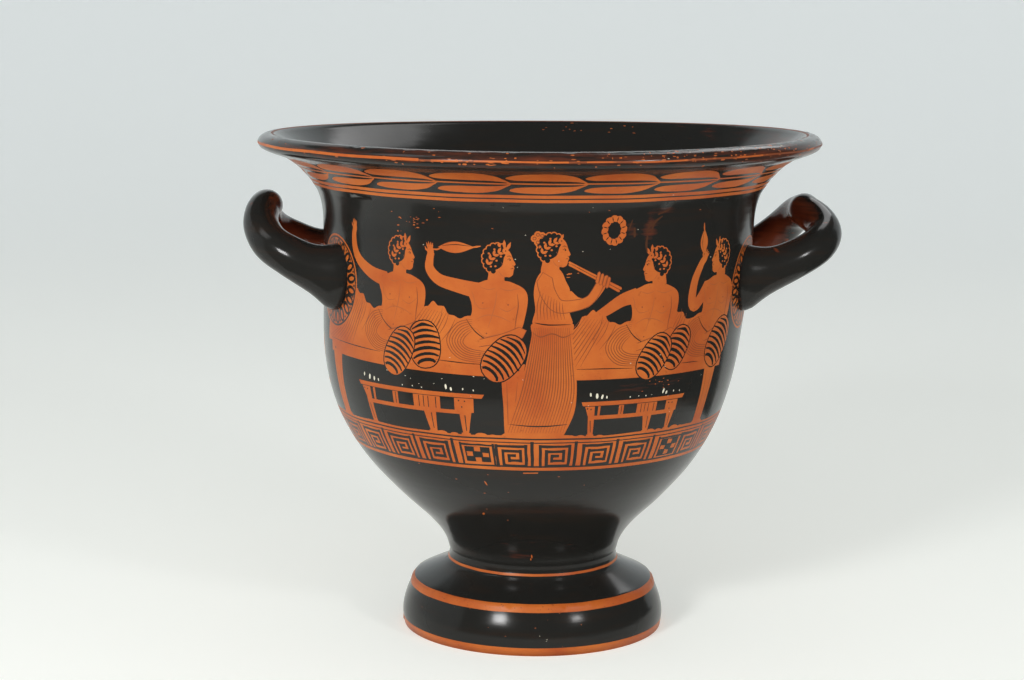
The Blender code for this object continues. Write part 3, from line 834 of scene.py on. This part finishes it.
for _, outline in outlines:
    first = len(points)
    cut_along([*outline, outline[0]])
    for s, v in points[first:]:
        column, row = cell_of(s, v)
        taken.update((column + i, row + j) for i in (-1, 0, 1) for j in (-1, 0, 1))
columns = [SHEET_LEFT + SHEET_WIDTH * k / COLUMN_COUNT for k in range(COLUMN_COUNT + 1)]
for v in (0.0, *cuts, total):
    cut_along([(s, v) for s in columns], SHEET_WIDTH)
for s in (columns[0], -quarter, quarter, columns[-1]):
    cut_along([(s, v) for v in rows], total)
for s in columns[1:-1]:
    for v in rows:
        if cell_of(s, v) not in taken:
            points.append((s, v))
flat, _, faces, _, _, _ = delaunay_2d_cdt([Vector(p) for p in points], edges, [], 0, CUT_TOLERANCE, False)
flat = np.array([tuple(p) for p in flat])
faces = np.array([face for face in faces if len(face) == 3])
middles = flat[faces].mean(axis=1)


def covered(outline, spots):
    """Which of the spots an outline winds round."""
    wound = np.zeros(len(spots), dtype=int)
    x, y = spots.T
    for (ax, ay), (bx, by) in zip(outline, np.roll(outline, -1, axis=0)):
        if ay == by:
            continue
        beside = (bx - ax) * (y - ay) - (x - ax) * (by - ay)
        wound += (ay <= y) & (y < by) & (beside > 0)
        wound -= (by <= y) & (y < ay) & (beside < 0)
    return wound != 0


slip = np.full(len(faces), GLOSS)
order = np.argsort(middles[:, 0])
sorted_s = middles[order, 0]
for colour, outline in outlines:
    low, high = outline.min(axis=0), outline.max(axis=0)
    near = order[np.searchsorted(sorted_s, low[0]) : np.searchsorted(sorted_s, high[0])]
    near = near[(middles[near, 1] >= low[1]) & (middles[near, 1] <= high[1])]
    slip[near[covered(outline, middles[near])]] = colour

# The map for baking: a band for each part of the sheet, with the front and the back side by side.
spans = np.array([0.0, *cuts, total])
level = np.searchsorted(cuts, middles[:, 1])
at_front = np.abs(middles[:, 0]) < quarter
part = np.choose(level, [
    UNDERSIDE, LOWER, np.where(at_front, FRONT, BACK), np.where(at_front, MOUTH_FRONT, MOUTH_BACK), INSIDE,
])
corner = flat[faces]
map_low, map_high = MAP_BANDS[part].T[:, :, None]
low, high = spans[level][:, None], spans[level + 1][:, None]
halved = np.isin(part, (FRONT, BACK, MOUTH_FRONT, MOUTH_BACK))
turned = np.where((middles[:, 0] < -quarter)[:, None], corner[:, :, 0] + SHEET_WIDTH, corner[:, :, 0])
back_u = (turned - quarter) / (SHEET_WIDTH / 2)
front_u = (corner[:, :, 0] + quarter) / (SHEET_WIDTH / 2)
whole_u = (corner[:, :, 0] - SHEET_LEFT) / SHEET_WIDTH
u = np.where(halved[:, None], np.where(at_front[:, None], front_u, back_u), whole_u)
v = map_low + (corner[:, :, 1] - low) / (high - low) * (map_high - map_low)

sheet_mesh = bpy.data.meshes.new("painted sheet")
sheet_mesh.from_pydata([(x / 1000, y / 1000, 0.0) for x, y in flat], [], faces.tolist())
sheet_mesh.attributes.new("slip", "INT", "FACE").data.foreach_set("value", slip.astype(np.int32))
bake_map = sheet_mesh.uv_layers.new(name="OFBake")
bake_map.data.foreach_set("uv", np.stack((u, v), axis=-1).astype(np.float32).ravel())


def placed(name, data):
    """A new object in the scene."""
    thing = bpy.data.objects.new(name, data)
    bpy.context.scene.collection.objects.link(thing)
    return thing


krater = placed("krater_pot", sheet_mesh)


def linear(code):
    """Linear RGBA from an sRGB hex code."""
    parts = [int(code[i : i + 2], 16) / 255 for i in (1, 3, 5)]
    return (*(c / 12.92 if c <= 0.04045 else ((c + 0.055) / 1.055) ** 2.4 for c in parts), 1.0)


def feed(tree, node, inputs):
    """Gives a node its inputs, each one a value or the socket that it is linked to."""
    for socket, value in inputs.items():
        if isinstance(value, bpy.types.NodeSocket):
            tree.links.new(value, node.inputs[socket])
        else:
            node.inputs[socket].default_value = value


def add(tree, kind, inputs=None, **settings):
    """Adds a node with its settings and inputs."""
    node = tree.nodes.new(kind)
    for name, value in settings.items():
        setattr(node, name, value)
    feed(tree, node, inputs or {})
    return node


def new_look(name):
    """A new material, its node tree and its shader."""
    material = bpy.data.materials.new(name)
    material.use_nodes = True
    return material, material.node_tree, material.node_tree.nodes["Principled BSDF"]


def plain_slip(name, code, roughness):
    """A slip of one even colour."""
    material, tree, shader = new_look(name)
    feed(tree, shader, {"Base Color": linear(code), "Roughness": roughness, "Specular IOR Level": 0.28})
    return material


# Black gloss slip: a film of very fine clay that fired black and slightly glassy. Where it lies thin or
# was shielded from the smoke it turned reddish brown, and its sheen is soft because it isn't quite level.
# The sizes of its patterns are in millimetres, and those left by the wheel lie level.
STREAK_SIZE = 62.5
PATCH_SIZE = 29.4
SHEEN_SIZE = 16.7
FILM_SIZE = 33.3
LEVEL_STRETCH = 9.0
gloss, tree, shader = new_look("black gloss slip")
spot = add(tree, "ShaderNodeTexCoord").outputs["Object"]
level_marks = add(tree, "ShaderNodeMapping", {
    "Vector": spot, "Scale": (1.0, 1.0, LEVEL_STRETCH),
}).outputs["Vector"]
streaks = add(tree, "ShaderNodeTexNoise", {
    "Vector": level_marks, "Scale": 1000 / STREAK_SIZE, "Detail": 4.0, "Roughness": 0.60,
})
streak_share = add(tree, "ShaderNodeMapRange", {
    "Value": streaks.outputs["Fac"], "From Min": 0.52, "From Max": 0.80, "To Min": 0.0, "To Max": 0.5,
}).outputs["Result"]
thin = add(tree, "ShaderNodeAttribute", attribute_name="thin_slip").outputs["Fac"]
patches = add(tree, "ShaderNodeTexNoise", {
    "Vector": level_marks, "Scale": 1000 / PATCH_SIZE, "Detail": 4.0, "Roughness": 0.64,
})
patch_share = add(tree, "ShaderNodeMath", {0: patches.outputs["Fac"], 1: thin}, operation="ADD").outputs[0]
patch_share = add(tree, "ShaderNodeMapRange", {
    "Value": patch_share, "From Min": 0.72, "From Max": 1.30, "To Min": 0.0, "To Max": 1.0,
}).outputs["Result"]
tone = add(tree, "ShaderNodeMix", {
    "Factor": streak_share, 6: linear("#201f1d"), 7: linear("#302117"),
}, data_type="RGBA").outputs[2]
tone = add(tree, "ShaderNodeMix", {
    "Factor": patch_share, 6: tone, 7: linear("#6e3420"),
}, data_type="RGBA").outputs[2]
grain = add(tree, "ShaderNodeTexNoise", {
    "Vector": spot, "Scale": 1000 / SHEEN_SIZE, "Detail": 5.0, "Roughness": 0.6,
})
rough = add(tree, "ShaderNodeMapRange", {
    "Value": grain.outputs["Fac"], "From Min": 0.3, "From Max": 0.7, "To Min": 0.12, "To Max": 0.20,
}).outputs["Result"]
film = add(tree, "ShaderNodeTexNoise", {
    "Vector": level_marks, "Scale": 1000 / FILM_SIZE, "Detail": 1.0, "Roughness": 0.5,
})
bump = add(tree, "ShaderNodeBump", {"Height": film.outputs["Fac"], "Strength": 0.10, "Distance": 0.0005})
feed(tree, shader, {
    "Base Color": tone, "Roughness": rough, "Specular IOR Level": 0.215, "Normal": bump.outputs["Normal"],
})

# Reserved clay: the pot's own orange earthenware, burnished and left without slip. It is mottled by
# the fire, specked with darker grains, and has a faint sheen. Real grit is finer than 0.2 mm, and it is
# drawn coarser here so that it shows. Sizes are in millimetres.
MOTTLE_SIZE = 45.5
SPECK_SIZE = 3.85
GRIT_SIZE = 2.38
clay, tree, shader = new_look("reserved orange clay")
spot = add(tree, "ShaderNodeTexCoord").outputs["Object"]
mottle = add(tree, "ShaderNodeTexNoise", {
    "Vector": spot, "Scale": 1000 / MOTTLE_SIZE, "Detail": 7.0, "Roughness": 0.62,
})
share = add(tree, "ShaderNodeMapRange", {
    "Value": mottle.outputs["Fac"], "From Min": 0.34, "From Max": 0.68,
}).outputs["Result"]
tone = add(tree, "ShaderNodeMix", {
    "Factor": share, 6: linear("#bb6428"), 7: linear("#a2491e"),
}, data_type="RGBA").outputs[2]
specks = add(tree, "ShaderNodeTexNoise", {
    "Vector": spot, "Scale": 1000 / SPECK_SIZE, "Detail": 4.0, "Roughness": 0.7,
})
speck_share = add(tree, "ShaderNodeMapRange", {
    "Value": specks.outputs["Fac"], "From Min": 0.62, "From Max": 0.74, "To Min": 0.0, "To Max": 0.45,
}).outputs["Result"]
tone = add(tree, "ShaderNodeMix", {
    "Factor": speck_share, 6: tone, 7: linear("#6a2f16"),
}, data_type="RGBA").outputs[2]
grit = add(tree, "ShaderNodeTexNoise", {"Vector": spot, "Scale": 1000 / GRIT_SIZE, "Detail": 3.0})
bump = add(tree, "ShaderNodeBump", {"Height": grit.outputs["Fac"], "Strength": 0.2, "Distance": 0.0002})
feed(tree, shader, {
    "Base Color": tone, "Roughness": 0.36, "Specular IOR Level": 0.18, "Normal": bump.outputs["Normal"],
})

# Relief line, thinned slip and added white: the painter's own lines and dabs over the bare clay. The
# thinned ones look browner and duller than the gloss, and the white is a chalky clay without any sheen.
# All the slips stand here in the order of the painting's numbers for them.
SLIPS = {
    "Reserved clay": clay,
    "Black gloss": gloss,
    "Relief line": plain_slip("black relief line", "#211b17", 0.30),
    "Thinned slip": plain_slip("thinned brown slip", "#7a3b1a", 0.42),
    "Thinnest slip": plain_slip("thinnest brown slip", "#9a4f23", 0.42),
    "Added white": plain_slip("added white", "#cfc8b4", 0.60),
    "Misfired slip": plain_slip("misfired brown slip", "#472b1c", 0.26),
}

# The sheet becomes the pot: every point goes to its place along the profile and round the axis.
wrap = bpy.data.node_groups.new("wheel turned pot", "GeometryNodeTree")
wrap.is_modifier = True
sockets = {"Geometry": "Geometry", "Profile": "Object", "Wall radius": "Float"}
sockets.update(dict.fromkeys(SLIPS, "Material"))
for name, kind in sockets.items():
    wrap.interface.new_socket(name, in_out="INPUT", socket_type="NodeSocket" + kind)
wrap.interface.new_socket("Geometry", in_out="OUTPUT", socket_type="NodeSocketGeometry")
given = add(wrap, "NodeGroupInput").outputs
place = add(wrap, "GeometryNodeInputPosition").outputs["Position"]
flat_place = add(wrap, "ShaderNodeSeparateXYZ", {"Vector": place}).outputs
curve = add(wrap, "GeometryNodeObjectInfo", {"Object": given["Profile"]}).outputs["Geometry"]
taken_along = add(wrap, "GeometryNodeSampleCurve", {
    "Curves": curve, "Length": flat_place["Y"],
}, mode="LENGTH")
on_profile = add(wrap, "ShaderNodeSeparateXYZ", {"Vector": taken_along.outputs["Position"]}).outputs
heading = add(wrap, "ShaderNodeSeparateXYZ", {"Vector": taken_along.outputs["Tangent"]}).outputs
angle = add(wrap, "ShaderNodeMath", {
    0: flat_place["X"], 1: given["Wall radius"],
}, operation="DIVIDE").outputs[0]
sine = add(wrap, "ShaderNodeMath", {0: angle}, operation="SINE").outputs[0]
cosine = add(wrap, "ShaderNodeMath", {0: angle}, operation="COSINE").outputs[0]
to_front = add(wrap, "ShaderNodeMath", {0: cosine, 1: -1.0}, operation="MULTIPLY").outputs[0]
inward = add(wrap, "ShaderNodeMath", {0: heading["X"], 1: -1.0}, operation="MULTIPLY").outputs[0]


def round_axis(radial, upright):
    """A vector at each point, from its part away from the axis and its part upwards."""
    x = add(wrap, "ShaderNodeMath", {0: radial, 1: sine}, operation="MULTIPLY").outputs[0]
    y = add(wrap, "ShaderNodeMath", {0: radial, 1: to_front}, operation="MULTIPLY").outputs[0]
    return add(wrap, "ShaderNodeCombineXYZ", {"X": x, "Y": y, "Z": upright}).outputs[0]


kept = add(wrap, "GeometryNodeStoreNamedAttribute", {
    "Geometry": given["Geometry"], "Name": "turned_normal", "Value": round_axis(heading["Z"], inward),
}, data_type="FLOAT_VECTOR", domain="POINT")
bent = add(wrap, "GeometryNodeSetPosition", {
    "Geometry": kept.outputs["Geometry"], "Position": round_axis(on_profile["X"], on_profile["Z"]),
})
geometry = add(wrap, "GeometryNodeMergeByDistance", {
    "Geometry": bent.outputs["Geometry"], "Distance": SEAM_TOLERANCE,
}).outputs["Geometry"]
which = add(wrap, "GeometryNodeInputNamedAttribute", {"Name": "slip"}, data_type="INT").outputs["Attribute"]
geometry = add(wrap, "GeometryNodeSetMaterial", {
    "Geometry": geometry, "Material": given["Black gloss"],
}).outputs["Geometry"]
for number, name in enumerate(SLIPS):
    chosen = add(wrap, "FunctionNodeCompare", {2: which, 3: number}, data_type="INT", operation="EQUAL")
    geometry = add(wrap, "GeometryNodeSetMaterial", {
        "Geometry": geometry, "Selection": chosen.outputs["Result"], "Material": given[name],
    }).outputs["Geometry"]
solid = add(wrap, "GeometryNodeRealizeInstances", {"Geometry": geometry}).outputs["Geometry"]
add(wrap, "NodeGroupOutput", {"Geometry": solid})

spline_data = bpy.data.curves.new("pot profile", "CURVE")
spline_data.dimensions = "3D"
spline = spline_data.splines.new("POLY")
spline.points.add(len(profile) - 1)
for at, point in enumerate(profile):
    spline.points[at].co = (point.x, 0.0, point.y, 1.0)
profile_curve = placed("pot profile", spline_data)


def set_inputs(modifier, values):
    """Sets a modifier's inputs by the names of its tree's sockets."""
    for item in modifier.node_group.interface.items_tree:
        if item.in_out == "INPUT" and item.name in values:
            modifier[item.identifier] = values[item.name]


turning = krater.modifiers.new("turned on the wheel", "NODES")
turning.node_group = wrap
set_inputs(turning, {"Profile": profile_curve, "Wall radius": WALL_RADIUS, **SLIPS})
bpy.context.view_layer.update()
turned_pot = krater.evaluated_get(bpy.context.evaluated_depsgraph_get())
pot_mesh = bpy.data.meshes.new_from_object(turned_pot)
krater.modifiers.clear()
krater.data = pot_mesh
bpy.data.objects.remove(profile_curve)


# The clay moved as it dried: the rim tilted, took a little of a saddle's shape and slid to the right,
# and the belly leaned to the left. These lengths are in metres.
RIM_TILT = 0.0011
RIM_SADDLE = 0.0007
RIM_FROM = 0.27
MOUTH_SLIDE = 0.0012
MOUTH_FROM = 0.20
CHANGE_OVER = 0.05
BELLY_LEAN = 0.0040
BELLY_HEIGHT = 0.150
BELLY_SPREAD = 0.070


def vectors(items, name):
    """One property of all of a mesh's items, a row of three numbers each."""
    values = np.empty(len(items) * 3, dtype=np.float32)
    items.foreach_get(name, values)
    return values.reshape(-1, 3)


def out_of_true(mesh):
    """Bends a mesh as the drying clay moved."""
    spots = vectors(mesh.vertices, "co")
    x, y, z = spots.T.copy()
    bearing = np.arctan2(x, -y)
    reach = np.hypot(x, y) / WALL_RADIUS
    high = np.clip((z - RIM_FROM) / CHANGE_OVER, 0, 1) * np.clip(reach, 0, 1.3)
    spots[:, 2] += high * (RIM_TILT * np.sin(bearing) - RIM_SADDLE * np.cos(2 * bearing))
    spots[:, 0] += MOUTH_SLIDE * np.clip((z - MOUTH_FROM) / CHANGE_OVER, 0, 1)
    spots[:, 0] -= BELLY_LEAN * np.exp(-(((z - BELLY_HEIGHT) / BELLY_SPREAD) ** 2)) * np.clip(reach, 0, 1)
    mesh.vertices.foreach_set("co", spots.ravel())


out_of_true(krater.data)
krater.data.shade_smooth()
turned_normals = vectors(krater.data.attributes["turned_normal"].data, "vector")
krater.data.normals_split_custom_set_from_vertices(turned_normals.tolist())
for name in ("turned_normal", "slip"):
    krater.data.attributes.remove(krater.data.attributes[name])

# Where the slip lies thin: the place (s, z) on the wall, how far it reaches across and up in
# millimetres, and how thin it is at most.
THIN_PLACES = (
    (59, 280, 5, 12, 0.46), (68, 289, 9, 4, 0.38), (47, 277, 5, 8, 0.38), (60, 181, 40, 4, 0.26),
    (150, 323, 150, 7, 0.46), (-20, 323, 230, 6, 0.40), (-30, 66, 60, 16, 0.22), (40, 60, 50, 10, 0.18),
    (-70, 102, 50, 8, 0.12), (-150, 285, 16, 14, 0.22), (420, 190, 50, 30, 0.25),
)


def thin_slip(spots):
    """How thin the slip lies at each point."""
    x, y, z = spots.T
    s_round = np.arctan2(x, -y) * WALL_RADIUS * 1000
    share = np.zeros(len(spots))
    for at_s, at_z, wide, high, most in THIN_PLACES:
        aside = (s_round - at_s + SHEET_WIDTH / 2) % SHEET_WIDTH - SHEET_WIDTH / 2
        share = np.maximum(share, most * np.exp(-((aside / wide) ** 2) - ((z * 1000 - at_z) / high) ** 2))
    return share


thin_shares = krater.data.attributes.new("thin_slip", "FLOAT", "POINT")
thin_shares.data.foreach_set("value", thin_slip(vectors(krater.data.vertices, "co")))
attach(krater, "root")
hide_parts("krater")


# The handles: two rolled lengths of clay bent into loops, pressed to the wall at both ends and pulled
# upright. They are black outside, and the side towards the wall was left without slip. Lengths are in
# metres and angles in degrees.
HANDLE_ROOT_ANGLE = 20.8
HANDLE_ROOT_HEIGHT = 0.2405
HANDLE_RADIUS = 0.0104
HANDLE_SWELL = 0.0034
FOOTING_WIDTH = 0.0032
FOOTING_DEPTH = 0.0095
FOOTING_LENGTH = 0.0140
FOOTING_FALL = 1.5
EVEN_ARM = (
    (0.34, 1.00, 0.13), (0.62, 0.96, 0.30), (0.85, 0.83, 0.48), (0.98, 0.56, 0.71), (0.99, 0.27, 0.91),
)
LOW_ARM = (
    (0.34, 1.00, 0.14), (0.62, 0.96, 0.32), (0.85, 0.83, 0.50), (0.98, 0.56, 0.68), (0.96, 0.27, 0.86),
)
STEEP_ARM = (
    (0.28, 1.00, 0.07), (0.52, 0.97, 0.31), (0.73, 0.86, 0.61), (0.84, 0.61, 0.86), (0.88, 0.30, 0.97),
)
BARE_SIDE = 270
BARE_SHARE = 0.85
BARE_FALL = 1.4
RUBBED_SPOTS = 0.012
RUBBED_SHARE = 0.7
HANDLE_SIDES = 32
HANDLE_STATIONS = 96


def wall_radius(height):
    """The radius of the pot's outer side at a height in metres."""
    return float(np.interp(height * 1000, outer_heights, [point.x for point in outer]))


def handle_middle(reach, rise, lean, front_arm, back_arm):
    """The middle line of one handle towards +X, from its root at the front round to that at the back."""
    angle = math.radians(HANDLE_ROOT_ANGLE)
    wall = wall_radius(HANDLE_ROOT_HEIGHT)
    span = WALL_RADIUS + reach - HANDLE_RADIUS - wall * math.cos(angle)
    halves = []
    for way, arm in ((-1, front_arm), (1, back_arm)):
        root = Vector((wall * math.cos(angle), way * wall * math.sin(angle), HANDLE_ROOT_HEIGHT))
        inward = Vector((root.x, root.y, 0.0)).normalized() * WALL_THICKNESS / 2
        half = [root - inward, root]
        for outwards, across, up in arm:
            half.append(root + Vector((span * outwards, root.y * (across - 1.0), rise * up)))
        halves.append(half)
    top = Vector((halves[0][1].x + span - lean, 0.0, HANDLE_ROOT_HEIGHT + rise))
    return smooth_through([*halves[0], top, *halves[1][::-1]], 12)


def surface(name, spots, skin, look):
    """A new smooth object from its points and faces."""
    mesh = bpy.data.meshes.new(name)
    mesh.from_pydata(spots, [], skin)
    mesh.materials.append(look)
    mesh.shade_smooth()
    return placed(name, mesh)


def handle(name, side, path):
    """One handle as a closed tube that swells towards its roots and ends inside the wall."""
    lengths = np.concatenate(([0.0], np.cumsum([(b - a).length for a, b in zip(path, path[1:])])))
    spots, skin, bare = [], [], []
    for station in range(HANDLE_STATIONS + 1):
        wanted = lengths[-1] * station / HANDLE_STATIONS
        at = min(int(np.searchsorted(lengths, wanted, side="right")) - 1, len(path) - 2)
        centre = path[at].lerp(path[at + 1], (wanted - lengths[at]) / (lengths[at + 1] - lengths[at]))
        ahead = path[min(at + 2, len(path) - 1)] - path[max(at - 1, 0)]
        along_path = ahead.normalized()
        upward = (Vector((0.0, 0.0, 1.0)) - along_path * along_path.z).normalized()
        across = along_path.cross(upward)
        from_end = lengths[-1] * min(station, HANDLE_STATIONS - station) / HANDLE_STATIONS
        radius = HANDLE_RADIUS + HANDLE_SWELL * (1.0 - from_end / (lengths[-1] / 2))
        footing = math.exp(-((from_end / FOOTING_LENGTH) ** FOOTING_FALL))
        half_width = radius + FOOTING_WIDTH * footing
        half_depth = radius + FOOTING_DEPTH * footing
        for corner_at in range(HANDLE_SIDES):
            turn = 2 * math.pi * corner_at / HANDLE_SIDES
            point = centre + upward * math.cos(turn) * half_depth + across * math.sin(turn) * half_width
            if station in (0, HANDLE_STATIONS):
                inner = wall_radius(point.z) - WALL_THICKNESS / 2
                point = Vector((point.x, point.y, 0.0)).normalized() * inner + Vector((0.0, 0.0, point.z))
            spots.append((point.x * side, point.y, point.z))
            rubbed = RUBBED_SHARE if hand.random() < RUBBED_SPOTS else 0.0
            inwards = max(0.0, math.cos(turn - math.radians(BARE_SIDE)))
            bare.append(max(rubbed, BARE_SHARE * inwards**BARE_FALL))
    for station in range(HANDLE_STATIONS):
        for corner_at in range(HANDLE_SIDES):
            a = station * HANDLE_SIDES + corner_at
            b = station * HANDLE_SIDES + (corner_at + 1) % HANDLE_SIDES
            skin.append((a, b, b + HANDLE_SIDES, a + HANDLE_SIDES)[::side])
    for end in (0, HANDLE_STATIONS):
        ring = [end * HANDLE_SIDES + corner_at for corner_at in range(HANDLE_SIDES)]
        skin.append(tuple(ring[:: -side if end == 0 else side]))
    loop = surface(name, spots, skin, gloss)
    loop.data.attributes.new("thin_slip", "FLOAT", "POINT").data.foreach_set("value", bare)
    out_of_true(loop.data)
    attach(loop, "root")
    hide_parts("krater")


left_path = handle_middle(reach=0.0500, rise=0.0390, lean=0.0030, front_arm=EVEN_ARM, back_arm=EVEN_ARM)
right_path = handle_middle(reach=0.0552, rise=0.0366, lean=0.0085, front_arm=LOW_ARM, back_arm=STEEP_ARM)
handle("left_handle", -1, left_path)
handle("right_handle", 1, right_path)


# Floor, lights and camera: a pale sweep of paper, lit by the lamps and glowing faintly so that it stays
# evenly bright, with painted shade making it darker and cooler further from the pot; two small soft lights in
# front for the highlights, two high panels at the sides for the sheen inside the mouth and on the left
# handle, and the photograph's view. Only the paper near the pot and behind it shows in the gloss.
SWEEP = (
    (0.0, 0.0), (0.3, 0.0), (0.6, 0.0), (0.9, 0.0), (1.4, 0.0), (2.4, 0.0), (3.0, 0.06), (3.5, 0.28),
    (3.9, 0.7), (4.1, 1.3), (4.2, 3.0),
)
GLOSSY_FLOOR = 0.40
PAPER_ROUND = 72
BACK_FROM = 6
BACK_TO = 40
PAPER_DROP = 0.0002
LIGHTS_AIM = Vector((0, 0, 0.15))
paper, tree, shader = new_look("backdrop paper with painted falloff")
# Painted shade: the paper's colour, and the faint glow that carries the same colour, grow darker and cooler
# with distance from the pot, standing in for the fall-off of the lamps' light.
spot = add(tree, "ShaderNodeTexCoord").outputs["Object"]
away = add(tree, "ShaderNodeVectorMath", {0: spot}, operation="LENGTH").outputs["Value"]
share = add(tree, "ShaderNodeMapRange", {"Value": away, "From Min": 0.2, "From Max": 4.4}).outputs["Result"]
tone = add(tree, "ShaderNodeMix", {
    "Factor": share, 6: linear("#dfe0db"), 7: linear("#d7dbdc"),
}, data_type="RGBA").outputs[2]
feed(tree, shader, {
    "Base Color": tone, "Emission Color": tone, "Emission Strength": 0.49, "Roughness": 0.95,
    "Specular IOR Level": 0.1,
})
sweep_rings = smooth_through([Vector(p) for p in SWEEP], 3)[1:]


def paper_sheet(name, rings, first, last, centre):
    """A part of the sweep: some of its rings, from one step round to another, counted from the right."""
    spots, skin = [], []
    for ring in rings:
        for k in range(first, last + 1):
            angle = 2 * math.pi * k / PAPER_ROUND
            spots.append((ring.x * math.cos(angle), ring.x * math.sin(angle), max(0.0, ring.y) - PAPER_DROP))
    across = last - first + 1
    for at in range(len(rings) - 1):
        for k in range(across - 1):
            a = at * across + k
            skin.append((a, a + across, a + across + 1, a + 1))
    if centre:
        spots.append((0.0, 0.0, -PAPER_DROP))
        skin += [(len(spots) - 1, k, k + 1) for k in range(across - 1)]
    sheet = surface(name, spots, skin, paper)
    return sheet


near_count = 1 + sum(ring.x < GLOSSY_FLOOR for ring in sweep_rings)
paper_sheet("floor", sweep_rings[:near_count], 0, PAPER_ROUND, True)
far_rings = sweep_rings[near_count - 1 :]
paper_sheet("back_paper", far_rings, BACK_FROM, BACK_TO, False)
front_paper = paper_sheet("front_paper", far_rings, BACK_TO, BACK_FROM + PAPER_ROUND, False)
front_paper.visible_glossy = False

world = bpy.data.worlds.new("studio air")
world.use_nodes = True
feed(world.node_tree, world.node_tree.nodes["Background"], {"Color": linear("#c9d6d6"), "Strength": 0.12})
bpy.context.scene.world = world


def softbox(name, bearing, height, away, size, power, lights_gloss, lights_clay=True):
    """A soft light round the pot, at so many degrees to the right of the front, turned towards it."""
    light = bpy.data.lights.new(name, "AREA")
    light.shape = "RECTANGLE"
    light.size, light.size_y = size
    light.energy = power
    lamp = placed(name, light)
    angle = math.radians(bearing)
    lamp.location = (away * math.sin(angle), -away * math.cos(angle), height)
    lamp.rotation_euler = (LIGHTS_AIM - lamp.location).to_track_quat("-Z", "Y").to_euler()
    lamp.visible_glossy = lights_gloss
    lamp.visible_diffuse = lights_clay


softbox("left softbox", -34, 0.92, 1.9, (0.38, 0.38), 21, True)
softbox("right softbox", 37, 0.92, 1.9, (0.28, 0.28), 8, True)
softbox("front fill", -4, 2.0, 2.2, (2.6, 1.6), 15, False)
softbox("top fill", 180, 2.7, 0.4, (2.4, 2.4), 9, False)
softbox("left window", -74, 1.75, 1.3, (0.7, 0.7), 4.0, True, False)
softbox("window", 149, 1.70, 1.5, (0.60, 1.1), 5.5, True, False)

CAMERA_AWAY = 1.4016
CAMERA_HEIGHT = 0.4064
camera_data = bpy.data.cameras.new("camera")
camera_data.lens = 75.13
camera_data.sensor_width = 36.0
camera_data.shift_x = -0.0231
camera = placed("camera", camera_data)
heading_turn, down, roll = math.radians(4.35), math.radians(8.75), math.radians(0.70)
facing = Vector((math.sin(heading_turn), math.cos(heading_turn), 0.0))
sight = facing * math.cos(down) - Vector((0.0, 0.0, math.sin(down)))
camera.location = Vector((0.0, 0.0, CAMERA_HEIGHT)) - facing * CAMERA_AWAY
camera.rotation_mode = "QUATERNION"
camera.rotation_quaternion = sight.to_track_quat("-Z", "Y") @ Quaternion((0, 0, 1), roll)
bpy.context.scene.camera = camera
bpy.context.scene.view_settings.view_transform = "Standard"
